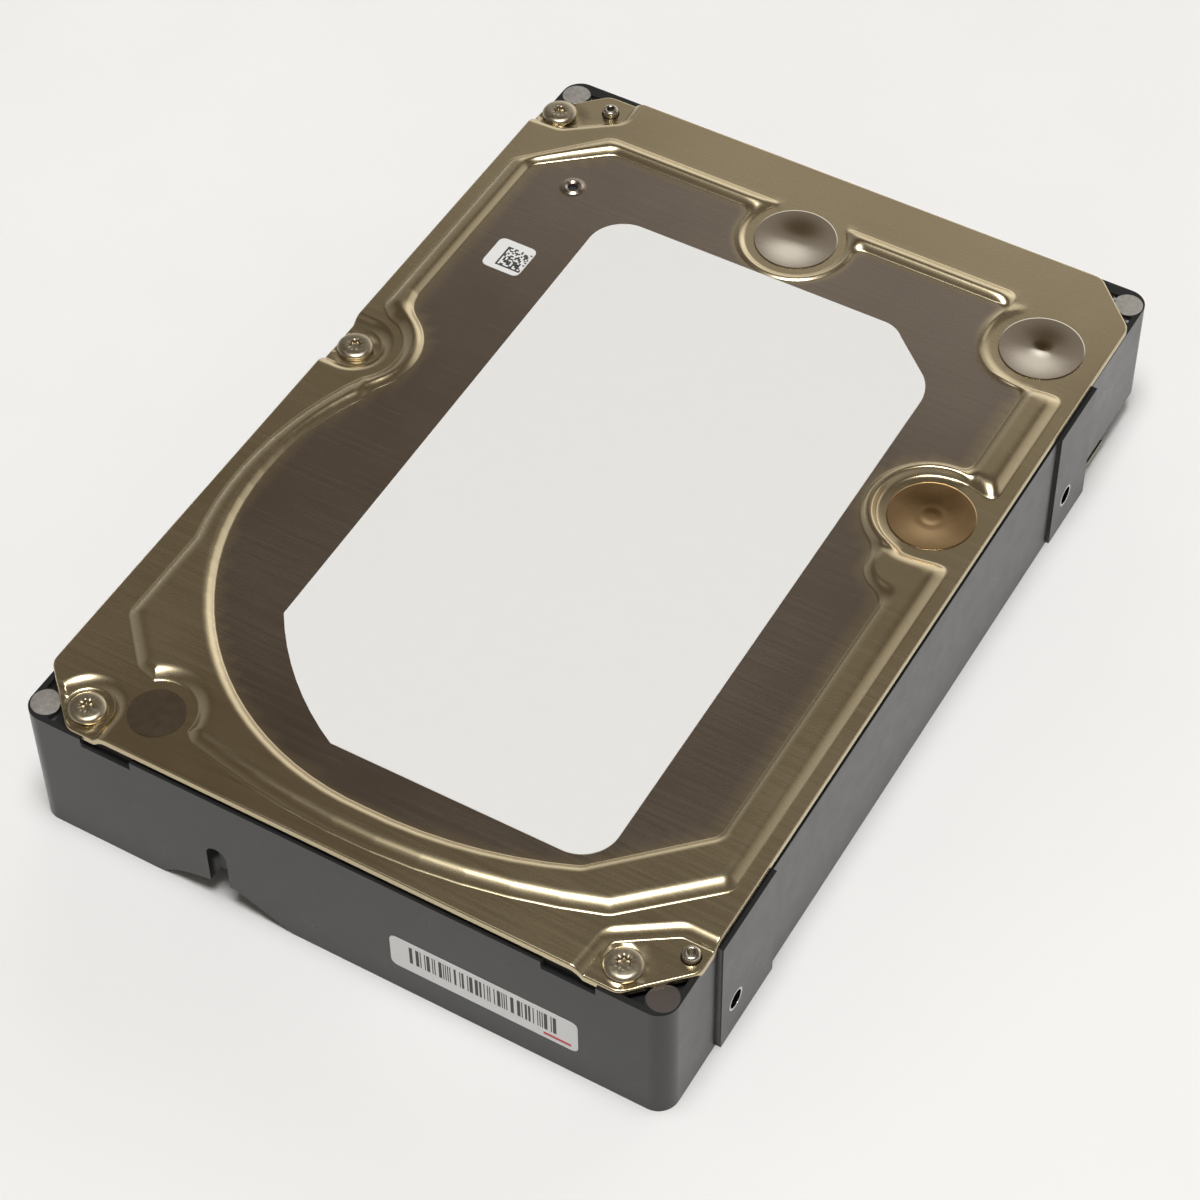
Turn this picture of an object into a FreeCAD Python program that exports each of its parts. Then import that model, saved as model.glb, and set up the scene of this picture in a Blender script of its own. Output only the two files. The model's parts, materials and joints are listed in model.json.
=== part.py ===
import FreeCAD, Part
import math
import os

os.makedirs("parts", exist_ok=True)
Vector = FreeCAD.Vector

# A 3.5-inch hard disk drive, in millimetres.
# X runs across the drive, Y runs from the front end to the connector end, Z points up to the cover.
# The bottom of the casting's rails is Z = 0, and X = Y = 0 is the middle of the drive.

# Outside sizes of the 3.5-inch form factor.
WIDTH = 101.6
LENGTH = 147.0
HEIGHT = 25.4
LABEL_THICK = 0.1
FRONT_Y = -LENGTH / 2 + LABEL_THICK
REAR_Y = LENGTH / 2
PAD_X = WIDTH / 2
SIDE_X = 50.3
END_X = 50.0

# The form factor's mounting holes, 6-32 UNC.
MOUNT_HOLE_R = 1.4
SIDE_HOLES_Y = (REAR_Y - 28.5, REAR_Y - 28.5 - 101.6)
SIDE_HOLE_Z = 6.35
SIDE_HOLE_DEPTH = 4.2
BOTTOM_HOLE_X = 95.25 / 2
BOTTOM_HOLES_Y = (REAR_Y - 41.28, REAR_Y - 41.28 - 44.45)
BOTTOM_HOLE_DEPTH = 5.0

# Levels of the casting.
RIM_Z = 22.4
FLOOR_Z = 6.0
FLOOR_UNDER_Z = 3.8

# Levels of the upper face of the stamped cover, and the thickness of its sheet.
SHEET = 0.7
SEAT_Z = RIM_Z + SHEET
LAND_Z = 24.2
FIELD_Z = 24.4
RIDGE_Z = HEIGHT
DIMPLE_Z = 23.5
COVER_X = 50.15
COVER_FRONT_Y = -73.0
COVER_REAR_Y = 72.1
COVER_CORNER = 7.7

# Screws that hold the cover: in the open pockets, under the foil seals, and under the label.
POCKET_SCREWS = ((-41.6, -69.1), (41.2, -69.1), (-47.2, 5.5), (-47.2, 64.5))
SEALED_SCREWS = ((-1.2, 56.7), (40.9, 54.1), (41.5, 16.8))
LOCATING_PINS = ((47.9, -63.7), (-40.3, 68.5))
TOOLING_HOLE = (-32.6, -65.7)
BREATHER = (-36.2, 49.9)
SEAL_R = 6.35
COVER_SCREW_R = 1.2
COVER_SCREW_HEAD_R = 2.7
COVER_SCREW_HEAD = 0.9
LOW_SCREW_HEAD = 0.6

# Spindle motor and disc stack.
SPINDLE = (0.0, -22.3)
BAY_R = 48.3
SHAFT_R = 2.5
DISC_R = 47.5
DISC_BORE_R = 12.5
DISC_THICK = 1.27
DISC_PITCH = 4.2
DISC_Z = tuple(8.6 + DISC_PITCH * i for i in range(3))
CLAMP_Z = DISC_Z[-1] + DISC_THICK
HUB_R = 12.45
HUB_FLANGE_R = 15.5
SKIRT_R = 11.5
SLEEVE_FIT = 0.04

# Head actuator. It is drawn with its pivot at the origin and its arms along +X, then put in place parked.
PIVOT = (-14.0, 32.0)
PARKED_DEG = -18.1
ARM_LENGTH = 33.0
HEAD_AT = 48.0
TAB_END = 51.6
ARM_THICK = 1.0
HEAD_ROOM = 1.465
SPRING_THICK = 0.15
SLIDER_THICK = 0.45
ARM_Z = tuple(DISC_Z[0] - HEAD_ROOM + DISC_PITCH * i for i in range(4))
COIL_Z = (ARM_Z[0] + ARM_Z[3]) / 2
COIL_THICK = 2.4
COIL_R = (15.0, 29.5)
COIL_HALF_DEG = 17.0
YOKE_R = (12.0, 29.7)
YOKE_DEG = (96.0, 191.0)
YOKE_POSTS_DEG = (100.0, 187.0)
YOKE_POST_AT = 26.5
YOKE_THICK = 2.6
MAGNET_THICK = 3.1

# Circuit board.
BOARD_Z = (0.7, 1.7)
BOARD_SCREWS = ((-40.5, -3.0), (40.5, -3.0), (-40.5, 55.0), (40.5, 40.0), (8.0, 57.0))
SATA_X = (-42.5, 0.5)
SATA_TONGUES = ((-40.5, -16.0), (-12.0, -1.6))
JUMPER_X = (8.0, 18.0)
PLUG_TOP_Z = 7.2
PLUG_FRONT_Y = 62.7


# ---- Drawing helpers ----

def box(x, y, z):
    """A block between pairs of limits along X, Y and Z."""
    size = [high - low for low, high in (x, y, z)]
    return Part.makeBox(size[0], size[1], size[2], Vector(x[0], y[0], z[0]))


def rod(at, z, radius):
    """An upright cylinder between two levels."""
    return Part.makeCylinder(radius, z[1] - z[0], Vector(at[0], at[1], z[0]))


def ring(at, z, outer, inner):
    """An upright tube."""
    return rod(at, z, outer).cut(rod(at, z, inner))


def path(start, *steps):
    """A flat face inside a closed line. A step is a point, or a (middle, end) pair for an arc."""
    edges = []
    here = Vector(start[0], start[1], 0)
    for step in steps + (start,):
        if isinstance(step[0], tuple):
            middle = Vector(step[0][0], step[0][1], 0)
            there = Vector(step[1][0], step[1][1], 0)
            edges.append(Part.Arc(here, middle, there).toShape())
        else:
            there = Vector(step[0], step[1], 0)
            if there.distanceToPoint(here) > 1e-6:
                edges.append(Part.makeLine(here, there))
        here = there
    return Part.Face(Part.Wire(edges))


def rounded(*corners):
    """A flat face with straight sides. A corner is (x, y, radius of its rounding)."""
    count = len(corners)
    steps = []
    for i, (x, y, radius) in enumerate(corners):
        here = Vector(x, y, 0)
        back = Vector(corners[i - 1][0], corners[i - 1][1], 0) - here
        ahead = Vector(corners[(i + 1) % count][0], corners[(i + 1) % count][1], 0) - here
        half = back.getAngle(ahead) / 2
        back.normalize()
        ahead.normalize()
        inward = back + ahead
        inward.normalize()
        tangent = radius / math.tan(half)
        centre = here + inward * (radius / math.sin(half))
        first = here + back * tangent
        middle = centre - inward * radius
        last = here + ahead * tangent
        steps.append(((first.x, first.y), (middle.x, middle.y), (last.x, last.y)))
    line = []
    for first, middle, last in steps:
        line.append(first)
        line.append((middle, last))
    return path(line[0], *line[1:])


def disc(at, radius):
    """A flat round face."""
    circle = Part.makeCircle(radius, Vector(at[0], at[1], 0))
    return Part.Face(Part.Wire(circle))


def plate(face, z):
    """A flat face made into a plate between two levels."""
    lifted = face.copy()
    lifted.translate(Vector(0, 0, z[0]))
    return lifted.extrude(Vector(0, 0, z[1] - z[0]))


def grow(face, distance):
    """The flat face with its outline moved outwards, or inwards for a negative distance."""
    return face.makeOffset2D(distance)


def merge(*faces):
    """One flat face that covers all the flat faces."""
    solid = join(plate(face, (0, 1)) for face in faces)
    return min(solid.Faces, key=lambda f: f.CenterOfMass.z)


def sector(radii, degrees):
    """A flat face between two radii and two directions round the origin."""
    middle = (degrees[0] + degrees[1]) / 2
    inner = [polar(radii[0], a) for a in (degrees[0], middle, degrees[1])]
    outer = [polar(radii[1], a) for a in (degrees[0], middle, degrees[1])]
    return path(inner[0], outer[0], (outer[1], outer[2]), inner[2], (inner[1], inner[0]))


def polar(radius, degrees, centre=(0.0, 0.0)):
    """The point at a radius and direction from a centre."""
    angle = math.radians(degrees)
    return (centre[0] + radius * math.cos(angle), centre[1] + radius * math.sin(angle))


def join(shapes):
    """All the shapes as one solid."""
    shapes = list(shapes)
    return shapes[0].multiFuse(shapes[1:]).removeSplitter()


def cut(shape, tools):
    """The shape with every tool cut out of it."""
    return shape.cut(Part.makeCompound(list(tools)))


def group(shapes):
    """Separate solids kept in one node."""
    return Part.makeCompound(list(shapes))


def at_pivot(shape, turn=PARKED_DEG):
    """A shape drawn round the origin, turned and moved to the actuator's pivot."""
    shape.rotate(Vector(0, 0, 0), Vector(0, 0, 1), turn)
    shape.translate(Vector(PIVOT[0], PIVOT[1], 0))
    return shape


def torx_screw(at, seat_z, head_r, head, shank_r, length, down=True):
    """A pan-head screw with a six-lobed recess. It goes down from its seat, or up from it."""
    body = rod((0, 0), (0, head), head_r)
    rim = [e for e in body.Edges if abs(e.CenterOfMass.z - head) < 1e-6]
    body = body.makeFillet(head * 0.45, rim)
    lobes = [rod(polar(head_r * 0.27, 60 * i), (head * 0.35, head), head_r * 0.13) for i in range(6)]
    recess = join([rod((0, 0), (head * 0.35, head), head_r * 0.3)] + lobes)
    screw = body.cut(recess).fuse(rod((0, 0), (-length, 0), shank_r)).removeSplitter()
    if not down:
        screw.rotate(Vector(0, 0, 0), Vector(1, 0, 0), 180)
    screw.translate(Vector(at[0], at[1], seat_z))
    return screw


# ---- Places on circles round the spindle and the pivot ----

RAMP_AT = polar(50.3, -12.5, PIVOT)
YOKE_POST_PLACES = tuple(polar(YOKE_POST_AT, a, PIVOT) for a in YOKE_POSTS_DEG)
CLAMP_SCREWS = tuple(polar(8.6, 60 * i, SPINDLE) for i in range(6))


# ---- Outlines of the cover and of the bays below it ----

# The foot of the raised ridge that runs round the whole cover.
ridge_foot = path(
    (-48.1, 14.0),
    (-48.1, 51.0),
    (-36.8, 62.9),
    (43.5, 62.9),
    (48.3, 58.0),
    (48.3, -53.0),
    (36.3, -64.2),
    ((7.0, -70.7), (-22.0, -68.6)),
    (-26.0, -67.8),
    (-27.5, -66.4),
    ((-29.7, -61.2), (-36.2, -61.7)),
    (-39.3, -60.9),
    (-46.3, -53.4),
    (-46.3, -37.5),
    ((-48.1, -21.8), (-43.9, -2.5)),
    (-42.6, 0.2),
    ((-40.4, 6.6), (-43.6, 11.3)),
    (-45.6, 12.0),
)

# The sunken field inside the ridge, where the label is.
field = path(
    (-44.2, 18.5),
    (-44.2, 51.0),
    (-34.4, 59.2),
    (42.4, 59.2),
    (42.4, -46.3),
    (29.2, -59.2),
    ((15.0, -63.7), (0.0, -65.0)),
    ((-31.4, -52.5), (-43.9, -20.0)),
    ((-42.9, -12.0), (-39.7, -3.5)),
)
field = field.cut(disc(POCKET_SCREWS[2], 10.2)).Faces[0]
for seal_at in SEALED_SCREWS:
    field = max(field.cut(disc(seal_at, 9.3)).Faces, key=lambda f: f.Area)
field = max(field.cut(disc((42.0, 5.6), 4.4)).Faces, key=lambda f: f.Area)

cover_outline = rounded(
    (COVER_X - COVER_CORNER, COVER_FRONT_Y, 2.0),
    (COVER_X, COVER_FRONT_Y + COVER_CORNER, 2.0),
    (COVER_X, COVER_REAR_Y - COVER_CORNER, 2.0),
    (COVER_X - COVER_CORNER, COVER_REAR_Y, 2.0),
    (-COVER_X + COVER_CORNER, COVER_REAR_Y, 2.0),
    (-COVER_X, COVER_REAR_Y - COVER_CORNER, 2.0),
    (-COVER_X, COVER_FRONT_Y + COVER_CORNER, 2.0),
    (-COVER_X + COVER_CORNER, COVER_FRONT_Y, 2.0),
)

# Pockets where the cover comes down onto the casting round its screws. They run out past its edge.
pockets = [
    merge(disc(POCKET_SCREWS[0], 4.2), path((-45.8, -69.1), (-53.0, -69.1), (-53.0, -76.0),
                                            (-37.4, -76.0), (-37.4, -69.1))),
    rounded((37.3, -76.0, 0.5), (53.0, -76.0, 0.5), (53.0, -60.4, 0.5), (46.2, -60.4, 1.5),
            (38.4, -65.6, 1.5)),
    merge(disc(POCKET_SCREWS[2], 4.4), path((-47.2, 1.1), (-47.2, 9.9), (-53.0, 9.9),
                                            (-53.0, 1.1))),
    rounded((-53.0, 61.0, 0.5), (-45.0, 61.4, 1.5), (-37.1, 67.2, 1.5), (-37.1, 75.0, 0.5),
            (-53.0, 75.0, 0.5)),
]

# The bay that holds the discs, the actuator and the recirculation filter.
inside = grow(ridge_foot, -1.0)
rear_bay = inside.common(path((-60, -3), (60, -3), (60, 80), (-60, 80)))
filter_bay = inside.common(path((-46, -60), (-33, -60), (-33, -38), (-46, -38)))
bay = merge(disc(SPINDLE, BAY_R), rear_bay, filter_bay)
bay = max(bay.cut(disc(POCKET_SCREWS[2], 6.4)).Faces, key=lambda f: f.Area)


# ---- Casting ----

def corner_recess(sign_x, edge_y, sign_y):
    """The low corner beside the cover's cut corner, round its standing post."""
    near_x = COVER_X - COVER_CORNER
    low = path(
        (sign_x * near_x, sign_y * (edge_y - 0.5)),
        (sign_x * 49.1, sign_y * (edge_y - 0.5)),
        (sign_x * 49.1, sign_y * (edge_y - COVER_CORNER)),
    )
    post = rod((sign_x * 48.2, sign_y * 70.9), (RIM_Z - 1.4, RIM_Z), 2.7)
    return plate(low, (RIM_Z - 1.4, RIM_Z)).cut(post)


def base_casting():
    body = plate(rounded((-END_X, FRONT_Y, 3.0), (END_X, FRONT_Y, 3.0), (END_X, REAR_Y, 3.0),
                         (-END_X, REAR_Y, 3.0)), (0, RIM_Z))
    solids = [body, box((-SIDE_X, SIDE_X), (-47.0, 41.0), (0, RIM_Z))]
    for low, high in ((-60.5, -46.2), (40.5, 52.5)):
        solids.append(box((-PAD_X, PAD_X), (low, high), (0, RIM_Z)))
    body = join(solids)
    body = body.cut(plate(bay, (FLOOR_Z, RIM_Z)))

    # Hollows under the floor: one in front round the motor, one for the circuit board.
    under = plate(rounded((-45.5, -69.5, 4.0), (45.5, -69.5, 4.0), (45.5, 70.5, 1.0),
                          (-45.5, 70.5, 1.0)), (0, FLOOR_UNDER_Z))
    rib = ring(SPINDLE, (0, FLOOR_UNDER_Z), 19.0, 16.8).common(box((-30, 30), (-60, -8.5), (0, 5)))
    spokes = [box((16.9, 44.0), (-24.0, -22.6), (1.2, FLOOR_UNDER_Z)),
              box((-44.0, -16.9), (-24.0, -22.6), (1.2, FLOOR_UNDER_Z)),
              box((-0.7, 0.7), (-69.0, -39.3), (1.2, FLOOR_UNDER_Z))]
    board_posts = [rod(at, (BOARD_Z[1], FLOOR_UNDER_Z), 3.0) for at in BOARD_SCREWS]
    body = body.cut(cut(under, [rib] + spokes + board_posts))

    # Columns inside the bay for the screws under the seals, and thick spots behind the side holes.
    inner = [rod(at, (FLOOR_Z, RIM_Z), 5.0) for at in SEALED_SCREWS]
    inner.append(box((-5.2, 2.8), (56.7, 62.5), (FLOOR_Z, RIM_Z)))
    inner.append(box((40.9, 47.6), (50.6, 57.6), (FLOOR_Z, RIM_Z)))
    inner.append(box((41.5, 47.6), (13.3, 20.3), (FLOOR_Z, RIM_Z)))
    for side in (-1, 1):
        low, high = sorted((side * 45.2, side * 47.6))
        inner.append(box((low, high), (42.2, 47.8), (FLOOR_Z, 9.6)))
    body = join([body] + inner)

    tools = []
    for x in (-BOTTOM_HOLE_X, BOTTOM_HOLE_X):
        for y in BOTTOM_HOLES_Y:
            tools.append(rod((x, y), (0, BOTTOM_HOLE_DEPTH), MOUNT_HOLE_R))
    for side in (-1, 1):
        for y in SIDE_HOLES_Y:
            start = Vector(side * PAD_X, y, SIDE_HOLE_Z)
            tools.append(Part.makeCylinder(MOUNT_HOLE_R, SIDE_HOLE_DEPTH, start, Vector(-side, 0, 0)))
    for at in POCKET_SCREWS + SEALED_SCREWS:
        tools.append(rod(at, (14.0, RIM_Z), COVER_SCREW_R))
    for at in LOCATING_PINS:
        tools.append(rod(at, (16.0, RIM_Z), 1.25))
    tools.append(rod(TOOLING_HOLE, (19.4, RIM_Z), 2.5))
    tools.append(rod(SPINDLE, (0, FLOOR_Z), 14.0))
    tools.append(rod(PIVOT, (0, FLOOR_Z), SHAFT_R))
    for at in BOARD_SCREWS:
        tools.append(rod(at, (0, 5.0), 0.9))
    tools.append(box((14.0, 26.0), (44.0, 50.0), (0, FLOOR_Z)))
    tools.append(rod(RAMP_AT, (4.2, FLOOR_Z), 0.8))
    for at in YOKE_POST_PLACES:
        tools.append(rod(at, (4.2, FLOOR_Z), 1.2))

    # Openings for the plugs in the rear wall, and the rail cut away over the board's corner.
    tools.append(box((SATA_X[0] - 0.3, SATA_X[1] + 0.3), (PLUG_FRONT_Y, REAR_Y), (0, PLUG_TOP_Z + 0.2)))
    tools.append(box((JUMPER_X[0] - 0.3, JUMPER_X[1] + 0.3), (PLUG_FRONT_Y, REAR_Y), (0, PLUG_TOP_Z + 0.2)))
    tools.append(box((44.0, PAD_X), (52.5, REAR_Y), (0, 4.4)))

    # Front end: two notches in the rim, an arched slot, and a shallow arch along the bottom.
    for low, high in ((-40.0, -32.0), (31.5, 39.5)):
        tools.append(box((low, high), (FRONT_Y, FRONT_Y + 1.0), (RIM_Z - 1.5, RIM_Z)))
    tools.append(box((-21.0, -17.8), (FRONT_Y, FRONT_Y + 2.4), (0, 9.9)))
    arch_top = Vector(-19.4, FRONT_Y, 9.9)
    tools.append(Part.makeCylinder(1.6, 2.4, arch_top, Vector(0, 1, 0)))
    arch = path((-29.5, 0.0), (-8.0, 0.0), (-17.0, 4.0), (-22.0, 3.4), (-26.5, 2.0))
    arch.rotate(Vector(0, 0, 0), Vector(1, 0, 0), 90)
    arch.translate(Vector(0, FRONT_Y + 6.0, 0))
    tools.append(arch.extrude(Vector(0, -6.0, 0)))
    for sign_x in (-1, 1):
        tools.append(corner_recess(sign_x, -COVER_FRONT_Y, -1))
        tools.append(corner_recess(sign_x, COVER_REAR_Y, 1))
    return cut(body, tools)


# ---- Cover, its gasket, screws, seals and labels ----

def ridge_plan(shrink):
    """Plan of the ridge and all inside it, without the low ground round the sealed screws."""
    plan = grow(ridge_foot, -0.6 - shrink)
    low_ground = [disc(at, 7.6 + shrink) for at in SEALED_SCREWS]
    low_ground.append(path((33.4 - shrink, 46.6 - shrink), (60, 46.6 - shrink), (60, 80),
                           (33.4 - shrink, 80)))
    low_ground.append(path((41.5, 9.6 - shrink), (60, 9.6 - shrink), (60, 23.3 + shrink),
                           (41.5, 23.3 + shrink)))
    return plan.cut(Part.makeCompound(low_ground))


def top_cover():
    sheet = plate(cover_outline, (RIM_Z, LAND_Z))
    sheet = sheet.fuse(plate(ridge_plan(0), (LAND_Z, RIDGE_Z)))
    top_cuts = [plate(grow(field, 0.5), (FIELD_Z, RIDGE_Z))]
    top_cuts += [plate(pocket, (SEAT_Z, LAND_Z)) for pocket in pockets]
    top_cuts += [rod(at, (SEAT_Z, LAND_Z), 5.6) for at in SEALED_SCREWS]
    top_cuts += [rod(at, (DIMPLE_Z, FIELD_Z), 4.4) for at in (SPINDLE, PIVOT)]
    sheet = cut(sheet, top_cuts)

    # The underside follows the upper face one sheet thickness below.
    low_parts = [plate(grow(pocket, SHEET), (RIM_Z, RIDGE_Z)) for pocket in pockets]
    low_parts += [rod(at, (RIM_Z, RIDGE_Z), 5.6 + SHEET) for at in SEALED_SCREWS]
    dimples = [rod(at, (DIMPLE_Z - SHEET, RIDGE_Z), 4.4 + SHEET) for at in (SPINDLE, PIVOT)]
    hollow = plate(cover_outline, (RIM_Z, LAND_Z - SHEET))
    raised = plate(ridge_plan(SHEET), (LAND_Z - SHEET, RIDGE_Z - SHEET))
    sunken = plate(grow(field, 0.5 + SHEET), (FIELD_Z - SHEET, RIDGE_Z))
    hollow = hollow.fuse(raised.cut(sunken))
    hollow = cut(hollow, low_parts + dimples)
    sheet = sheet.cut(hollow)

    holes = [rod(at, (RIM_Z, LAND_Z), COVER_SCREW_R + 0.15) for at in POCKET_SCREWS + SEALED_SCREWS]
    holes += [rod(at, (RIM_Z, FIELD_Z), COVER_SCREW_R + 0.15) for at in (SPINDLE, PIVOT)]
    holes += [rod(at, (RIM_Z, LAND_Z), 1.4) for at in LOCATING_PINS]
    holes.append(rod(TOOLING_HOLE, (RIM_Z, LAND_Z), 2.5))
    holes.append(rod(BREATHER, (RIM_Z, FIELD_Z), 0.8))
    return cut(sheet, holes).removeSplitter()


def cover_gasket():
    band = grow(ridge_foot, 1.45).cut(grow(ridge_foot, 0.35))
    return plate(band, (RIM_Z, LAND_Z - SHEET))


def cover_screws():
    """Pan heads in the open pockets, and lower heads under the seals and the label."""
    seats = [(at, SEAT_Z, COVER_SCREW_HEAD) for at in POCKET_SCREWS]
    seats += [(at, SEAT_Z, LOW_SCREW_HEAD) for at in SEALED_SCREWS]
    seats += [(at, DIMPLE_Z, LOW_SCREW_HEAD) for at in (SPINDLE, PIVOT)]
    return group(torx_screw(at, z, COVER_SCREW_HEAD_R, head, COVER_SCREW_R, 6.5) for at, z, head in seats)


def locating_pins():
    pins = []
    for at in LOCATING_PINS:
        pin = rod(at, (16.0, LAND_Z), 1.25)
        rim = [e for e in pin.Edges if abs(e.CenterOfMass.z - LAND_Z) < 1e-6]
        pin = pin.makeFillet(0.4, rim)
        pins.append(pin.cut(rod(at, (LAND_Z - 1.5, LAND_Z), 0.6)))
    return group(pins)


def top_label():
    outline = path((-28.3, 41.5), ((-26.6, 45.6), (-22.5, 47.3)), (18.5, 47.5), ((20.4, 47.1), (22.0, 45.9)),
                   (28.4, 40.4), ((29.9, 38.0), (30.4, 35.3)), (31.2, -53.0), ((29.6, -56.8), (25.6, -58.4)),
                   (-9.6, -58.6), ((-19.6, -51.8), (-27.4, -43.0)))
    return plate(outline, (FIELD_Z, FIELD_Z + LABEL_THICK))


def code_label():
    face = rounded((-39.9, 28.7, 1.2), (-33.5, 28.7, 1.2), (-33.5, 35.1, 1.2), (-39.9, 35.1, 1.2))
    return plate(face, (FIELD_Z, FIELD_Z + LABEL_THICK))


def front_label():
    face = rounded((8.2, 5.4, 1.2), (36.8, 5.4, 1.2), (36.8, 11.9, 1.2), (8.2, 11.9, 1.2))
    label = face.extrude(Vector(0, 0, LABEL_THICK))
    label.rotate(Vector(0, 0, 0), Vector(1, 0, 0), 90)
    label.translate(Vector(0, FRONT_Y, 0))
    return label


def breather_filter():
    left, right = BREATHER[0] - 6.0, BREATHER[0] + 6.0
    front, rear = BREATHER[1] - 6.0, BREATHER[1] + 6.0
    face = rounded((left, front, 1.5), (right, front, 1.5), (right, rear, 1.5), (left, rear, 1.5))
    return plate(face, (FIELD_Z - SHEET - 1.6, FIELD_Z - SHEET))


# ---- Spindle ----

def motor_bracket():
    body = rod(SPINDLE, (2.6, FLOOR_Z), 14.0)
    post = ring(SPINDLE, (FLOOR_Z, 15.0), 6.4, 5.2)
    return body.fuse(post).cut(rod(SPINDLE, (2.6, FLOOR_Z), SHAFT_R)).removeSplitter()


def spindle_shaft():
    shaft = rod(SPINDLE, (2.6, DIMPLE_Z - SHEET), SHAFT_R)
    return shaft.cut(rod(SPINDLE, (16.5, DIMPLE_Z - SHEET), COVER_SCREW_R))


def stator(pole_half, r_inner, r_outer, z):
    """Nine poles round the bracket's post."""
    poles = []
    for i in range(9):
        pole = box((r_inner, r_outer), (-pole_half, pole_half), z)
        pole.rotate(Vector(0, 0, 0), Vector(0, 0, 1), 40 * i)
        pole.translate(Vector(SPINDLE[0], SPINDLE[1], 0))
        poles.append(pole)
    return poles


def stator_core():
    back = ring(SPINDLE, (9.0, 13.0), 7.2, 6.4)
    shoes = []
    for i in range(9):
        shoe = plate(sector((9.4, 10.2), (40 * i - 16, 40 * i + 16)), (9.0, 13.0))
        shoe.translate(Vector(SPINDLE[0], SPINDLE[1], 0))
        shoes.append(shoe)
    return join([back] + stator(0.6, 7.0, 9.6, (9.0, 13.0)) + shoes)


def stator_windings():
    coils = stator(1.35, 7.35, 9.25, (8.2, 13.8))
    cores = stator(0.6, 7.0, 9.6, (9.0, 13.0))
    return group(coil.cut(core) for coil, core in zip(coils, cores))


def spindle_hub():
    web_z = 15.6
    top_z = CLAMP_Z - 0.07
    hub = rod(SPINDLE, (7.4, top_z), HUB_R).fuse(rod(SPINDLE, (7.4, DISC_Z[0]), HUB_FLANGE_R))
    hub = hub.cut(rod(SPINDLE, (7.4, web_z), SKIRT_R))
    hub = hub.fuse(rod(SPINDLE, (6.6, top_z), 4.8))
    tools = [rod(SPINDLE, (6.6, top_z), SHAFT_R + SLEEVE_FIT)]
    tools += [rod(at, (web_z + 0.4, top_z), 0.9) for at in CLAMP_SCREWS]
    return cut(hub, tools).removeSplitter()


def rotor_magnet():
    return ring(SPINDLE, (7.6, 15.0), SKIRT_R, 10.6)


def platter(index):
    z = DISC_Z[index]
    return ring(SPINDLE, (z, z + DISC_THICK), DISC_R, DISC_BORE_R)


def platter_spacers():
    return group(ring(SPINDLE, (z + DISC_THICK, z + DISC_PITCH), 16.0, DISC_BORE_R) for z in DISC_Z[:2])


def disk_clamp():
    clamp = ring(SPINDLE, (CLAMP_Z, CLAMP_Z + 1.0), HUB_FLANGE_R, 5.6)
    return cut(clamp, [rod(at, (CLAMP_Z, CLAMP_Z + 1.0), 1.05) for at in CLAMP_SCREWS])


def clamp_screws():
    return group(torx_screw(at, CLAMP_Z + 1.0, 1.7, 0.8, 0.9, 3.0) for at in CLAMP_SCREWS)


# ---- Actuator ----

def pivot_shaft():
    shaft = rod(PIVOT, (FLOOR_UNDER_Z, DIMPLE_Z - SHEET), SHAFT_R)
    return shaft.cut(rod(PIVOT, (16.5, DIMPLE_Z - SHEET), COVER_SCREW_R))


def pivot_bearings():
    return group(ring(PIVOT, z, 4.6, SHAFT_R) for z in ((7.6, 10.6), (16.2, 19.2)))


def pivot_sleeve():
    return ring(PIVOT, (7.0, 19.9), 5.6, 4.65)


def arm_block():
    bottom = ARM_Z[0] - ARM_THICK / 2
    top = ARM_Z[3] + ARM_THICK / 2
    outline = path((0, 7.4), (11.0, 7.0), (ARM_LENGTH, 3.2), (ARM_LENGTH, -3.2), (11.0, -7.0), (0, -7.4))
    window = rounded((13.0, 2.6, 1.0), (28.0, 1.4, 1.0), (28.0, -1.4, 1.0), (13.0, -2.6, 1.0))
    solids = [rod((0, 0), (bottom, top), 7.9)]
    for z in ARM_Z:
        level = (z - ARM_THICK / 2, z + ARM_THICK / 2)
        solids.append(plate(outline, level).cut(plate(window, level)))
    block = join(solids).cut(rod((0, 0), (bottom, top), 5.6))
    return at_pivot(block)


def suspensions():
    outline = path((28.6, 2.6), (33.0, 2.6), (46.4, 1.5), (49.2, 0.9), (TAB_END, 0.5), (TAB_END, -0.5),
                   (49.2, -0.9), (46.4, -1.5), (33.0, -2.6), (28.6, -2.6))
    springs = []
    for low, high in spring_levels():
        springs.append(at_pivot(plate(outline, (low, high))))
    return group(springs)


def spring_levels():
    """Bottom and top of each suspension: one on the outer arms, two on the inner arms."""
    above = [(z + ARM_THICK / 2, z + ARM_THICK / 2 + SPRING_THICK) for z in ARM_Z[:3]]
    below = [(z - ARM_THICK / 2 - SPRING_THICK, z - ARM_THICK / 2) for z in ARM_Z[1:]]
    return above + below


def head_sliders():
    reach = ARM_THICK / 2 + SPRING_THICK
    levels = [(z + reach, z + reach + SLIDER_THICK) for z in ARM_Z[:3]]
    levels += [(z - reach - SLIDER_THICK, z - reach) for z in ARM_Z[1:]]
    return group(at_pivot(box((HEAD_AT - 0.65, HEAD_AT + 0.65), (-0.5, 0.5), level)) for level in levels)


def coil_plan(inset):
    """Plan of the voice coil, a flat sector behind the pivot, drawn smaller by the inset."""
    narrow = math.degrees(inset / COIL_R[1]) * 1.3
    return sector((COIL_R[0] + inset, COIL_R[1] - inset),
                  (180 - COIL_HALF_DEG + narrow, 180 + COIL_HALF_DEG - narrow))


def voice_coil():
    level = (COIL_Z - COIL_THICK / 2, COIL_Z + COIL_THICK / 2)
    return at_pivot(plate(coil_plan(0), level).cut(plate(coil_plan(3.0), level)))


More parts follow.
